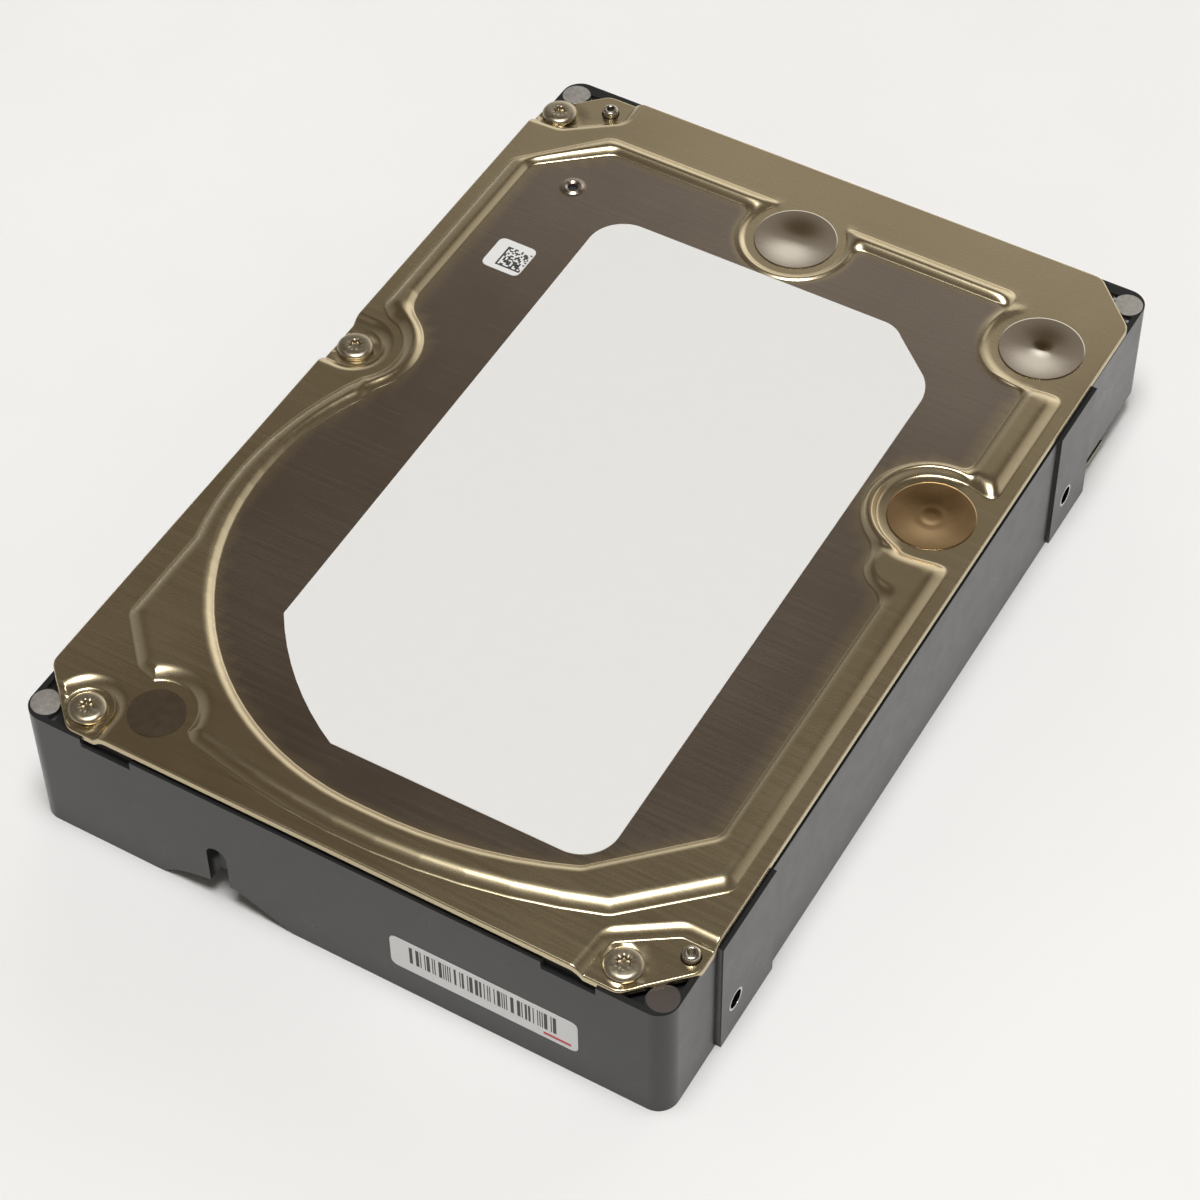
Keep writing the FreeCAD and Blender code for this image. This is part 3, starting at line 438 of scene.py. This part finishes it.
RIDGE_FOOT = soften(outline(
    (-48.1, 14.0), (-48.1, 51.0), (-36.8, 62.9), (43.5, 62.9), (48.3, 58.0), (48.3, -53.0), (36.3, -64.2),
    ((7.0, -70.7), (-22.0, -68.6)), (-26.0, -67.8), (-27.5, -66.4), ((-29.7, -61.2), (-36.2, -61.7)),
    (-39.3, -60.9), (-46.3, -53.4), (-46.3, -37.5), ((-48.1, -21.8), (-43.9, -2.5)), (-42.6, 0.2),
    ((-40.4, 6.6), (-43.6, 11.3)), (-45.6, 12.0)), 3.0)
FIELD = soften(outline(
    (-44.2, 18.5), (-44.2, 51.0), (-34.4, 59.2), (42.4, 59.2), (42.4, -46.3), (29.2, -59.2),
    ((15.0, -63.7), (0.0, -65.0)), ((-31.4, -52.5), (-43.9, -20.0)), ((-42.9, -12.0), (-39.7, -3.5))), 2.5)
COVER_X, COVER_FRONT, COVER_REAR, COVER_CORNER = 50.15, -73.0, 72.1, 7.7
COVER = soften(outline(
    (COVER_X - COVER_CORNER, COVER_FRONT), (COVER_X, COVER_FRONT + COVER_CORNER),
    (COVER_X, COVER_REAR - COVER_CORNER), (COVER_X - COVER_CORNER, COVER_REAR),
    (-COVER_X + COVER_CORNER, COVER_REAR), (-COVER_X, COVER_REAR - COVER_CORNER),
    (-COVER_X, COVER_FRONT + COVER_CORNER), (-COVER_X + COVER_CORNER, COVER_FRONT)), 2.5)
POCKETS = [
    soften(outline((-38.1, -69.1), ((-41.6, -65.6), (-45.1, -69.1)), (-53.0, -69.1), (-53.0, -76.0),
                   (-38.1, -76.0)), 0.8),
    soften(outline((37.3, -76.0), (53.0, -76.0), (53.0, -61.8), (45.6, -61.8), (38.2, -66.8)), 1.5),
    soften(outline((-53.0, 1.8), (-47.2, 1.8), ((-43.5, 5.5), (-47.2, 9.2)), (-53.0, 9.2)), 0.8),
    soften(outline((-53.0, 61.6), (-45.3, 62.0), (-37.9, 67.6), (-37.9, 75.0), (-53.0, 75.0)), 1.5),
]
FAR_RIGHT_LAND = outline((33.4, 46.6), (60.0, 46.6), (60.0, 80.0), (33.4, 80.0))
RIGHT_LAND = outline((41.5, 9.6), (60.0, 9.6), (60.0, 23.3), (41.5, 23.3))
TOP_LABEL = outline(
    (-28.3, 41.5), ((-26.6, 45.6), (-22.5, 47.3)), (18.5, 47.5), ((20.4, 47.1), (22.0, 45.9)), (28.4, 40.4),
    ((29.9, 38.0), (30.4, 35.3)), (31.2, -53.0), ((29.6, -56.8), (25.6, -58.4)), (-9.6, -58.6),
    ((-19.6, -51.8), (-27.4, -43.0)))

# Widths of the pressed slopes: outside and inside the ridge, and round the pockets.
OUTER_SLOPE = 2.8
INNER_SLOPE = 1.9
POCKET_SLOPE = 2.1

# Parts of each slope's width at which the mesh has an edge.
STEPS = (0.0, 0.08, 0.16, 0.24, 0.36, 0.5, 0.64, 0.78, 0.9, 1.0)

# How far the low ground and the raised ground reach round the screws, and round a knob beside the field.
SEALED_GROUND_R = 7.6
SEALED_FIELD_R = (9.3, 9.3, 10.1)
LEFT_SCREW_FIELD_R = 10.2
KNOB_AT, KNOB_R = (42.0, 5.2), 4.8
DIMPLE_R = 4.4

# Widths over which one surface of the cover is rounded into the next.
GROUND_BLEND = 1.5
LAND_BLEND = 2.0
FIELD_BLEND = 2.0
KNOB_BLEND = 3.0
CAP_BLEND = 0.3

# Beads round the sealed screws: the screw, the directions in degrees that the bead runs between, its height.
BEADS = ((SEALED_SCREWS[1], (130, 275), 0.12), (SEALED_SCREWS[2], (76, 265), 0.8))
BEAD_R, BEAD_WIDTH, BEAD_FADE = 8.6, 0.7, 18

# A rounded ring on the cover: its height or depth, its radius and its width.
BREATHER_LIP = (0.3, 1.25, 0.35)
SCREW_GROOVE = (0.12, 3.15, 0.25)

# How far the cover's outer edge is rounded over.
EDGE_ROUND = 0.3


def ridge_distance(x, y):
    """How far each place is outside the ridge's foot."""
    d = signed_distance(RIDGE_FOOT, x, y)
    for at in SEALED_SCREWS:
        d = smooth_max(d, SEALED_GROUND_R - radius_from(at, x, y), GROUND_BLEND)
    for low in (FAR_RIGHT_LAND, RIGHT_LAND):
        d = smooth_max(d, -signed_distance(low, x, y), LAND_BLEND)
    return d


def field_distance(x, y):
    """How far each place is outside the sunken field."""
    d = signed_distance(FIELD, x, y)
    d = smooth_max(d, LEFT_SCREW_FIELD_R - radius_from(POCKET_SCREWS[2], x, y), FIELD_BLEND)
    for at, radius in zip(SEALED_SCREWS, SEALED_FIELD_R):
        d = smooth_max(d, radius - radius_from(at, x, y), FIELD_BLEND)
    return smooth_max(d, KNOB_R - radius_from(KNOB_AT, x, y), KNOB_BLEND)


def pocket_distance(x, y):
    """How far each place is outside the nearest pocket."""
    distances = [radius_from(at, x, y) - SEALED_POCKET_R for at in SEALED_SCREWS]
    distances += [signed_distance(pocket, x, y) for pocket in POCKETS]
    return np.minimum.reduce(distances)


def dimple_distance(x, y):
    """How far each place is outside the nearest dimple under the label."""
    return np.minimum(*(radius_from(at, x, y) - DIMPLE_R for at in LABEL_SCREWS))


def ring_height(shape, radius):
    """Height of a rounded ring at a place this far from its middle."""
    height, middle, width = shape
    return height * np.exp(-((radius - middle) / width) ** 2)


def bead(at, directions, height, x, y):
    """A raised bead round part of a sealed screw's low ground, faded at both ends."""
    turn = np.degrees(np.arctan2(y - at[1], x - at[0])) % 360
    start = np.clip((turn - directions[0]) / BEAD_FADE, 0, 1)
    inside = start * np.clip((directions[1] - turn) / BEAD_FADE, 0, 1)
    return height * inside * np.exp(-((radius_from(at, x, y) - BEAD_R) / BEAD_WIDTH) ** 2)


def cover_height(x, y):
    """Level of the cover's upper face. Nothing rises above the ridge, which is as high as the CAD part."""
    z = LAND_Z + (RIDGE_Z - LAND_Z) * pressed(-ridge_distance(x, y) / OUTER_SLOPE)
    z = FIELD_Z + (z - FIELD_Z) * pressed(field_distance(x, y) / INNER_SLOPE)
    for at, directions, height in BEADS:
        z += bead(at, directions, height, x, y)
    z = -smooth_max(-z, -RIDGE_Z, CAP_BLEND)
    wall = pressed(pocket_distance(x, y) / POCKET_SLOPE)
    z = SEAT_Z + (z - SEAT_Z) * wall
    z = DIMPLE_Z + (z - DIMPLE_Z) * pressed(dimple_distance(x, y) / POCKET_SLOPE)
    z += ring_height(BREATHER_LIP, radius_from(BREATHER, x, y))
    for at in POCKET_SCREWS:
        z -= ring_height(SCREW_GROOVE, radius_from(at, x, y)) * np.clip(1 - 3 * wall, 0, 1)
    edge = np.clip(1 + signed_distance(COVER, x, y) / EDGE_ROUND, 0, 1)
    return z - EDGE_ROUND * (1 - np.sqrt(1 - edge * edge))


# ---- Mesh helpers ----

def level_lines(xs, ys, values, level):
    """The lines where values on a grid pass a level, as points and pairs of their numbers."""
    points, numbers, pairs = [], {}, []
    high = values > level
    mixed = (high[1:, 1:] != high[:-1, :-1]) | (high[1:, :-1] != high[:-1, 1:])
    mixed |= high[1:, 1:] != high[1:, :-1]
    for i, j in zip(*np.nonzero(mixed)):
        found = []
        corners = ((i, j), (i + 1, j), (i + 1, j + 1), (i, j + 1))
        for a, b in zip(corners, corners[1:] + corners[:1]):
            if high[a] == high[b]:
                continue
            key = (min(a, b), max(a, b))
            if key not in numbers:
                part = (level - values[a]) / (values[b] - values[a])
                numbers[key] = len(points)
                points.append(Vector((xs[a[0]] + part * (xs[b[0]] - xs[a[0]]),
                                      ys[a[1]] + part * (ys[b[1]] - ys[a[1]]))))
            found.append(numbers[key])
        pairs += list(zip(found[::2], found[1::2]))
    return points, pairs


def closed(points, spacing=None):
    """A closed line as points and pairs. With a spacing, none of its points are further apart than that."""
    dense = []
    for i, here in enumerate(points):
        ahead = points[(i + 1) % len(points)]
        count = max(1, math.ceil((ahead - here).length / spacing)) if spacing else 1
        dense += [here.lerp(ahead, k / count) for k in range(count)]
    return dense, [(i, (i + 1) % len(dense)) for i in range(len(dense))]


def triangulate(lines, loose, epsilon):
    """Triangles over all the points, with the lines kept as edges. Points nearer than epsilon merge."""
    points, pairs = [], []
    for line_points, line_pairs in lines:
        first = len(points)
        points += line_points
        pairs += [(a + first, b + first) for a, b in line_pairs]
    result = delaunay_2d_cdt(points + loose, pairs, [], 0, epsilon)
    return np.array([(p.x, p.y) for p in result[0]]), np.array(result[2])


def new_object(name, mesh, *materials):
    for material in materials:
        mesh.materials.append(material)
    obj = bpy.data.objects.new(name, mesh)
    scene.collection.objects.link(obj)
    return obj


# The step over which a sheet's slope is measured, in mm.
SLOPE_STEP = 0.02


def sheet_mesh(name, flat, faces, height, thick, material_of=None):
    """A thin sheet over a plan, in mm: upper face at the height, lower face one thickness below.

    material_of gives the material numbers of the upper faces.
    """
    used = np.unique(faces)
    flat, faces = flat[used], np.searchsorted(used, faces)
    x, y = flat[:, 0], flat[:, 1]
    slope_x = (height(x + SLOPE_STEP, y) - height(x - SLOPE_STEP, y)) / (2 * SLOPE_STEP)
    slope_y = (height(x, y + SLOPE_STEP) - height(x, y - SLOPE_STEP)) / (2 * SLOPE_STEP)
    normals = np.stack((-slope_x, -slope_y, np.ones_like(x)), axis=1)
    normals /= np.linalg.norm(normals, axis=1)[:, None]
    z = height(x, y)
    count = len(flat)
    places = np.concatenate((np.stack((x, y, z), axis=1), np.stack((x, y, z - thick), axis=1))) * MM
    edges = dict.fromkeys(edge for a, b, c in faces for edge in ((a, b), (b, c), (c, a)))
    rim = [(a, b) for a, b in edges if (b, a) not in edges]
    polygons = [tuple(f) for f in faces]
    polygons += [(c + count, b + count, a + count) for a, b, c in faces]
    polygons += [(b, a, a + count, b + count) for a, b in rim]
    mesh = bpy.data.meshes.new(name)
    mesh.from_pydata(places.tolist(), [], polygons)
    mesh.update()
    mesh.shade_smooth()
    loops = []
    for polygon in mesh.polygons:
        on_rim = polygon.index >= 2 * len(faces)
        for vertex in polygon.vertices:
            if on_rim:
                loops.append(tuple(polygon.normal))
            elif vertex < count:
                loops.append(tuple(normals[vertex]))
            else:
                loops.append(tuple(-normals[vertex - count]))
    mesh.normals_split_custom_set(loops)
    if material_of:
        centres = flat[faces].mean(axis=1)
        for i, number in enumerate(material_of(centres[:, 0], centres[:, 1])):
            mesh.polygons[i].material_index = int(number)
    return mesh


# ---- Cover ----

# The grid on which level lines are found, a little larger than the cover.
GRID_X = np.arange(-51.0, 51.01, 0.5)
GRID_Y = np.arange(-74.0, 73.51, 0.5)

# Where else the mesh has edges: at these distances from the cover's outer edge, negative inwards, and at
# these radii round the breather and round the sealed screw with the high bead.
EDGE_LEVELS = (-0.03, -0.1, -0.2, -0.32)
LIP_RADII = (0.95, 1.1, 1.25, 1.4, 1.6, 1.85, 2.2)
BEAD_RADII = (7.3, 7.7, 8.0, 8.3, 8.6, 8.9, 9.2, 9.5, 9.9)


def make_cover():
    """The pressed cover, with mesh edges along its slopes and round its holes."""
    grid_x, grid_y = np.meshgrid(GRID_X, GRID_Y, indexing="ij")
    ramps = ((ridge_distance, -OUTER_SLOPE), (field_distance, INNER_SLOPE), (pocket_distance, POCKET_SLOPE),
             (dimple_distance, POCKET_SLOPE))
    lines = [closed(COVER, 0.8)]
    for distance, width in ramps:
        values = distance(grid_x, grid_y)
        lines += [level_lines(GRID_X, GRID_Y, values, step * width) for step in STEPS]
    edge = signed_distance(COVER, grid_x, grid_y)
    lines += [level_lines(GRID_X, GRID_Y, edge, level) for level in EDGE_LEVELS]
    holes = [(at, SCREW_HOLE_R) for at in POCKET_SCREWS + SEALED_SCREWS + LABEL_SCREWS]
    holes += [(at, PIN_HOLE_R) for at in LOCATING_PINS]
    holes += [(TOOLING_HOLE, TOOLING_HOLE_R), (BREATHER, BREATHER_HOLE_R)]
    lines += [closed(circle(at, r, 40)) for at, r in holes]
    lines += [closed(circle(BREATHER, r, 32)) for r in LIP_RADII]
    lines += [closed(circle(SEALED_SCREWS[2], r, 90)) for r in BEAD_RADII]
    loose = [Vector((x, y)) for x in np.arange(-48, 49, 2.0) for y in np.arange(-72, 72, 2.0)]
    flat, faces = triangulate(lines, loose, epsilon=0.03)
    centres = flat[faces].mean(axis=1)
    keep = signed_distance(COVER, centres[:, 0], centres[:, 1]) < 0
    for at, r in holes:
        keep &= radius_from(at, centres[:, 0], centres[:, 1]) > r
    faces = faces[keep]
    mesh = sheet_mesh("cover", flat, faces, cover_height, SHEET)
    flat = flat[np.unique(faces)]

    # The colour changes over the width of the inner slope, half of it on each side of the field's edge.
    field = 1 - pressed(0.5 + field_distance(flat[:, 0], flat[:, 1]) / INNER_SLOPE)
    mesh.attributes.new("field", "FLOAT", "POINT").data.foreach_set("value", np.concatenate((field, field)))
    return new_object("cover", mesh, library["cover_steel"])


cover = make_cover()
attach(cover, "base")
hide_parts("top_cover")


# ---- Round pieces ----

ROUND_COUNT = 64
STAR_POINTS = 6


def lathe(bm, at, profile, turn):
    """Adds a turned form to a bmesh, in mm. A profile row is (radius, level, star); star waves the radius."""
    rings = []
    for radius, level, star in profile:
        if radius == 0:
            rings.append([bm.verts.new((at[0] * MM, at[1] * MM, level * MM))])
            continue
        ring = []
        for i in range(ROUND_COUNT):
            a = 2 * math.pi * i / ROUND_COUNT
            r = radius * (1 + star * math.cos(STAR_POINTS * (a - turn)))
            x, y = at[0] + r * math.cos(a), at[1] + r * math.sin(a)
            ring.append(bm.verts.new((x * MM, y * MM, level * MM)))
        rings.append(ring)
    for low, high in zip(rings, rings[1:]):
        for i in range(ROUND_COUNT):
            k = (i + 1) % ROUND_COUNT
            corners = [low[i % len(low)], low[k % len(low)], high[k % len(high)], high[i % len(high)]]
            bm.faces.new(list(dict.fromkeys(corners)))


def round_piece(name, materials, parts, sharp=40, numbers=None):
    """A piece of turned forms. Each part is (place, profile, turn), and numbers picks each one's material."""
    bm = bmesh.new()
    for i, (at, profile, turn) in enumerate(parts):
        before = len(bm.faces)
        lathe(bm, at, profile, turn)
        bm.faces.ensure_lookup_table()
        for face in bm.faces[before:]:
            face.material_index = numbers[i] if numbers else 0
    bmesh.ops.recalc_face_normals(bm, faces=bm.faces)
    mesh = bpy.data.meshes.new(name)
    bm.to_mesh(mesh)
    bm.free()
    mesh.shade_smooth()
    mesh.set_sharp_from_angle(angle=math.radians(sharp))
    piece = new_object(name, mesh, *materials)
    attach(piece, "base")
    return piece


def screw_profile(seat, head):
    """From the middle of the star recess, over the head and down to the end of the shank."""
    top = seat + head
    recess = ((0, top - 0.5, 0), (0.78, top - 0.48, 0.16), (0.86, top - 0.1, 0.16), (0.95, top, 0.14))
    head_rows = ((1.5, top, 0), (1.95, top - 0.02, 0), (2.2, top - 0.08, 0), (2.42, top - 0.19, 0),
                 (2.58, top - 0.32, 0), (2.68, top - 0.46, 0), (2.7, seat + 0.07, 0), (2.66, seat, 0))
    shank = ((1.2, seat, 0), (1.2, seat - 6.1, 0), (0.8, seat - 6.5, 0), (0, seat - 6.5, 0))
    return recess + head_rows + shank


seats = [(at, SEAT_Z, OPEN_HEAD) for at in POCKET_SCREWS]
seats += [(at, SEAT_Z, LOW_HEAD) for at in SEALED_SCREWS]
seats += [(at, DIMPLE_Z, LOW_HEAD) for at in LABEL_SCREWS]
turned_screws = [(at, screw_profile(seat, head), 0.3 + 0.7 * i) for i, (at, seat, head) in enumerate(seats)]
screws = round_piece("cover_screw_heads", (library["screw_steel"],), turned_screws, sharp=50)
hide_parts("cover_screws")

PIN_FOOT_Z = 16.0
pin_profile = ((0, LAND_Z - 1.5, 0), (0.6, LAND_Z - 1.5, 0), (0.6, LAND_Z - 0.06, 0), (0.68, LAND_Z, 0),
               (0.86, LAND_Z, 0), (1.06, LAND_Z - 0.07, 0), (1.18, LAND_Z - 0.2, 0), (1.23, LAND_Z - 0.38, 0),
               (1.25, PIN_FOOT_Z + 0.2, 0), (1.1, PIN_FOOT_Z, 0), (0, PIN_FOOT_Z, 0))
pins = round_piece("hollow_pins", (library["bright_steel"],), [(at, pin_profile, 0) for at in LOCATING_PINS])
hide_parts("locating_pins")


SEAL_RADII = (0, 0.25, 0.6, 1.0, 1.4, 1.8, 2.2, 2.8, 3.6, 4.4, 5.2, 5.8, 6.15, 6.3)
SEAL_BASE = LAND_Z + 0.02


def seal_profile(*swells):
    """A thin round seal. Each swell is (height, radius, width), and a negative one is a dent."""
    upper = []
    for r in SEAL_RADII:
        rise = sum(height * math.exp(-((r - middle) / width) ** 2) for height, middle, width in swells)
        upper.append((r, SEAL_BASE + 0.1 + rise, 0))
    lower = [(r, level - 0.08, 0) for r, level, _ in reversed(upper)]
    return tuple(upper) + ((SEAL_R, SEAL_BASE + 0.06, 0), (SEAL_R, SEAL_BASE + 0.02, 0)) + tuple(lower)


dished = seal_profile((-0.30, 0, 4.0))
coned = seal_profile((-0.26, 0, 4.0), (-0.2, 0, 0.9))
ringed = seal_profile((-0.26, 0, 4.0), (0.03, 1.6, 0.35))
brown_foil = plain_material("brown_foil", (0.76, 0.54, 0.29), 1.0, 0.17, 300, 0.08, 0.00001)
seals = round_piece("screw_seals", (library["seal_foil"], brown_foil),
                    [(at, profile, 0) for at, profile in zip(SEALED_SCREWS, (dished, coned, ringed))],
                    numbers=(0, 0, 1))
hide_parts("foil_seals")


# ---- Labels ----

LABEL_SPACING = 1.2
LABEL_GRID = 2.5
LABEL_CORNER = 1.2


def make_label(name, node, line, height, marks=(), inks=()):
    """A thin label. Marks are (x, y, ink number) rectangles printed on it, with the inks numbered from 1."""
    lines = [closed(line, LABEL_SPACING)]
    for x, y, _ in marks:
        lines.append(closed(outline((x[0], y[0]), (x[1], y[0]), (x[1], y[1]), (x[0], y[1]))))
    xs, ys = [p.x for p in line], [p.y for p in line]
    columns, rows = (np.arange(min(side) + 1, max(side), LABEL_GRID) for side in (xs, ys))
    loose = [Vector((x, y)) for x in columns for y in rows]
    flat, faces = triangulate(lines, loose, epsilon=0.005)
    centres = flat[faces].mean(axis=1)
    faces = faces[signed_distance(line, centres[:, 0], centres[:, 1]) < 0]

    def ink_number(x, y):
        number = np.zeros(len(x), int)
        for (x0, x1), (y0, y1), value in marks:
            number[(x > x0) & (x < x1) & (y > y0) & (y < y1)] = value
        return number

    mesh = sheet_mesh(name, flat, faces, height, LABEL_THICK, ink_number)
    piece = new_object(name, mesh, library["label_film"], *inks)
    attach(piece, "base")
    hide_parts(node)
    return piece


def on_field(x, y):
    return np.full_like(x, FIELD_Z + LABEL_THICK)


make_label("blank_label", "top_label", TOP_LABEL, on_field)

CODE_CELL, CODE_CELLS, CELL_FILL = 0.3, 14, 0.98
CODE_LEFT, CODE_LOW = -37.9, 29.6


def code_marks():
    """A small square of random cells with a solid edge on two sides, which encodes nothing."""
    dice = random.Random(5)
    marks = []
    for i in range(CODE_CELLS):
        for j in range(CODE_CELLS):
            if i == 0 or j == 0 or dice.random() < 0.5:
                x = (CODE_LEFT + i * CODE_CELL, CODE_LEFT + (i + CELL_FILL) * CODE_CELL)
                y = (CODE_LOW + j * CODE_CELL, CODE_LOW + (j + CELL_FILL) * CODE_CELL)
                marks.append((x, y, 1))
    return marks


CODE_LABEL = soften(outline((-39.9, 28.7), (-33.5, 28.7), (-33.5, 35.1), (-39.9, 35.1)), LABEL_CORNER)
make_label("small_code_label", "code_label", CODE_LABEL, on_field, code_marks(), (ink,))

BAR_WIDTHS = (0.17, 0.17, 0.34, 0.5)
BARS_LEFT, BARS_RIGHT, BARS_Y = 11.2, 33.6, (7.4, 11.0)
RED_LINE = ((31.6, 35.8), (6.15, 6.7), 2)


def bar_marks():
    """Upright bars of random widths, which encode nothing, and one short red line."""
    dice = random.Random(11)
    x = BARS_LEFT
    marks = []
    while x < BARS_RIGHT:
        wide = dice.choice(BAR_WIDTHS)
        marks.append(((x, x + wide), BARS_Y, 1))
        x += wide + dice.choice(BAR_WIDTHS)
    marks.append(RED_LINE)
    return marks


FRONT_LABEL = soften(outline((8.2, 5.4), (36.8, 5.4), (36.8, 11.9), (8.2, 11.9)), LABEL_CORNER)
bar_label = make_label("bar_label", "front_label", FRONT_LABEL, lambda x, y: np.zeros_like(x), bar_marks(),
                       (ink, red_ink))
front_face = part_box("front_label")[0][1]
bar_label.data.transform(Matrix.Translation((0, front_face, 0)) @ Matrix.Rotation(math.radians(90), 4, "X"))


# ---- CAD pieces ----

# Edges that turn by more than this are rounded over.
LEAST_TURN = math.radians(35)


def softened(name, node, width):
    """A copy of a CAD piece with its outer edges rounded over."""
    source = frame["nodes"][node]
    bm = bmesh.new()
    bm.from_mesh(source.data)
    bmesh.ops.remove_doubles(bm, verts=bm.verts, dist=1e-6)
    bmesh.ops.dissolve_limit(bm, angle_limit=math.radians(0.6), verts=bm.verts, edges=bm.edges, delimit=set())
    edges = [e for e in bm.edges if e.is_manifold and e.is_convex and e.calc_face_angle(0) > LEAST_TURN]
    bmesh.ops.bevel(bm, geom=edges, offset=width * MM, offset_type="OFFSET", segments=2, profile=0.5,
                    affect="EDGES", clamp_overlap=True)
    mesh = bpy.data.meshes.new(name)
    bm.to_mesh(mesh)
    bm.free()
    mesh.shade_smooth()
    mesh.set_sharp_from_angle(angle=math.radians(50))
    slot_name = source.data.materials[0].name
    piece = new_object(name, mesh, library[slot_name])
    piece.modifiers.new("flat faces", "WEIGHTED_NORMAL").keep_sharp = True
    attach(piece, "base")
    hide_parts(node)
    return piece


# How far the outer edges of these nodes are rounded over, in mm.
ROUNDED = {"base_casting": 0.25, "sata_plug": 0.12, "jumper_shell": 0.1, "motor_bracket": 0.2}
for obj in frame["nodes"].values():
    for i, material in enumerate(obj.data.materials):
        obj.material_slots[i].link = "OBJECT"
        obj.material_slots[i].material = library[material.name.split(".")[0]]
for node, width in ROUNDED.items():
    softened(node + "_rounded", node, width)


# ---- Stage and light ----

KEY_AT = (0.10, -0.17, 1.33)
KEY_SIZE = 0.45
KEY_POWER = 12.0
FLOOR_REACH = 4.0

floor_mesh = bpy.data.meshes.new("floor")
corners = [(x * FLOOR_REACH, y * FLOOR_REACH, 0) for x, y in ((-1, -1), (1, -1), (1, 1), (-1, 1))]
floor_mesh.from_pydata(corners, [], [(0, 1, 2, 3)])
floor = new_object("floor", floor_mesh, plain_material("floor", (0.93, 0.93, 0.925), 0.0, 0.7, 60, 0.02))

key_data = bpy.data.lights.new("key", "AREA")
key_data.shape = "RECTANGLE"
key_data.size = key_data.size_y = KEY_SIZE
key_data.energy = KEY_POWER
key = bpy.data.objects.new("key", key_data)
scene.collection.objects.link(key)
key.location = KEY_AT
key.rotation_euler = (AIM - Vector(KEY_AT)).to_track_quat("-Z", "Y").to_euler()


def studio_world():
    """A room that dims and warms towards its ceiling, two pale glows low behind, and one overhead."""
    world = bpy.data.worlds.new("studio")
    world.use_nodes = True
    tree = world.node_tree
    direction = tree.nodes.new("ShaderNodeTexCoord").outputs["Generated"]

    def glow(axis, stops):
        """Light by how nearly a direction faces the axis. A stop is (cosine, level, warmth)."""
        facing = tree.nodes.new("ShaderNodeVectorMath")
        facing.operation = "DOT_PRODUCT"
        facing.inputs[1].default_value = Vector(axis).normalized()
        tree.links.new(direction, facing.inputs[0])
        ramp = tree.nodes.new("ShaderNodeValToRGB")
        tree.links.new(facing.outputs["Value"], ramp.inputs["Fac"])
        ramp.color_ramp.interpolation = "EASE"
        elements = ramp.color_ramp.elements
        for i, (place, level, warmth) in enumerate(stops):
            element = elements[i] if i < 2 else elements.new(place)
            element.position = place
            element.color = (level, level * (1 - 0.5 * warmth), level * (1 - warmth), 1)
        return ramp.outputs["Color"]

    def add(first, second):
        total = tree.nodes.new("ShaderNodeMix")
        total.data_type = "RGBA"
        total.blend_type = "ADD"
        total.inputs[0].default_value = 1.0
        colours = [socket for socket in total.inputs if socket.type == "RGBA"]
        tree.links.new(first, colours[0])
        tree.links.new(second, colours[1])
        return next(socket for socket in total.outputs if socket.type == "RGBA")

    room = glow((0, 0, 1), ((0.0, 0.42, 0.02), (0.90, 0.05, 0.60), (0.30, 0.29, 0.06), (0.55, 0.20, 0.15),
                            (0.70, 0.10, 0.50)))
    backdrop = glow((-0.20, 0.92, 0.27), ((0.80, 0.0, 0.0), (1.0, 1.0, 0.03), (0.86, 0.12, 0.05),
                                          (0.92, 0.65, 0.03)))
    right_panel = glow((0.45, 0.85, 0.25), ((0.86, 0.0, 0.0), (1.0, 0.75, 0.03), (0.92, 0.40, 0.04)))
    overhead = glow(KEY_AT, ((0.968, 0.0, 0.0), (1.0, 5.0, 0.05), (0.985, 2.0, 0.05)))
    result = add(add(room, backdrop), add(right_panel, overhead))
    tree.links.new(result, tree.nodes["Background"].inputs["Color"])
    return world


scene.world = studio_world()
scene.view_settings.view_transform = "Standard"
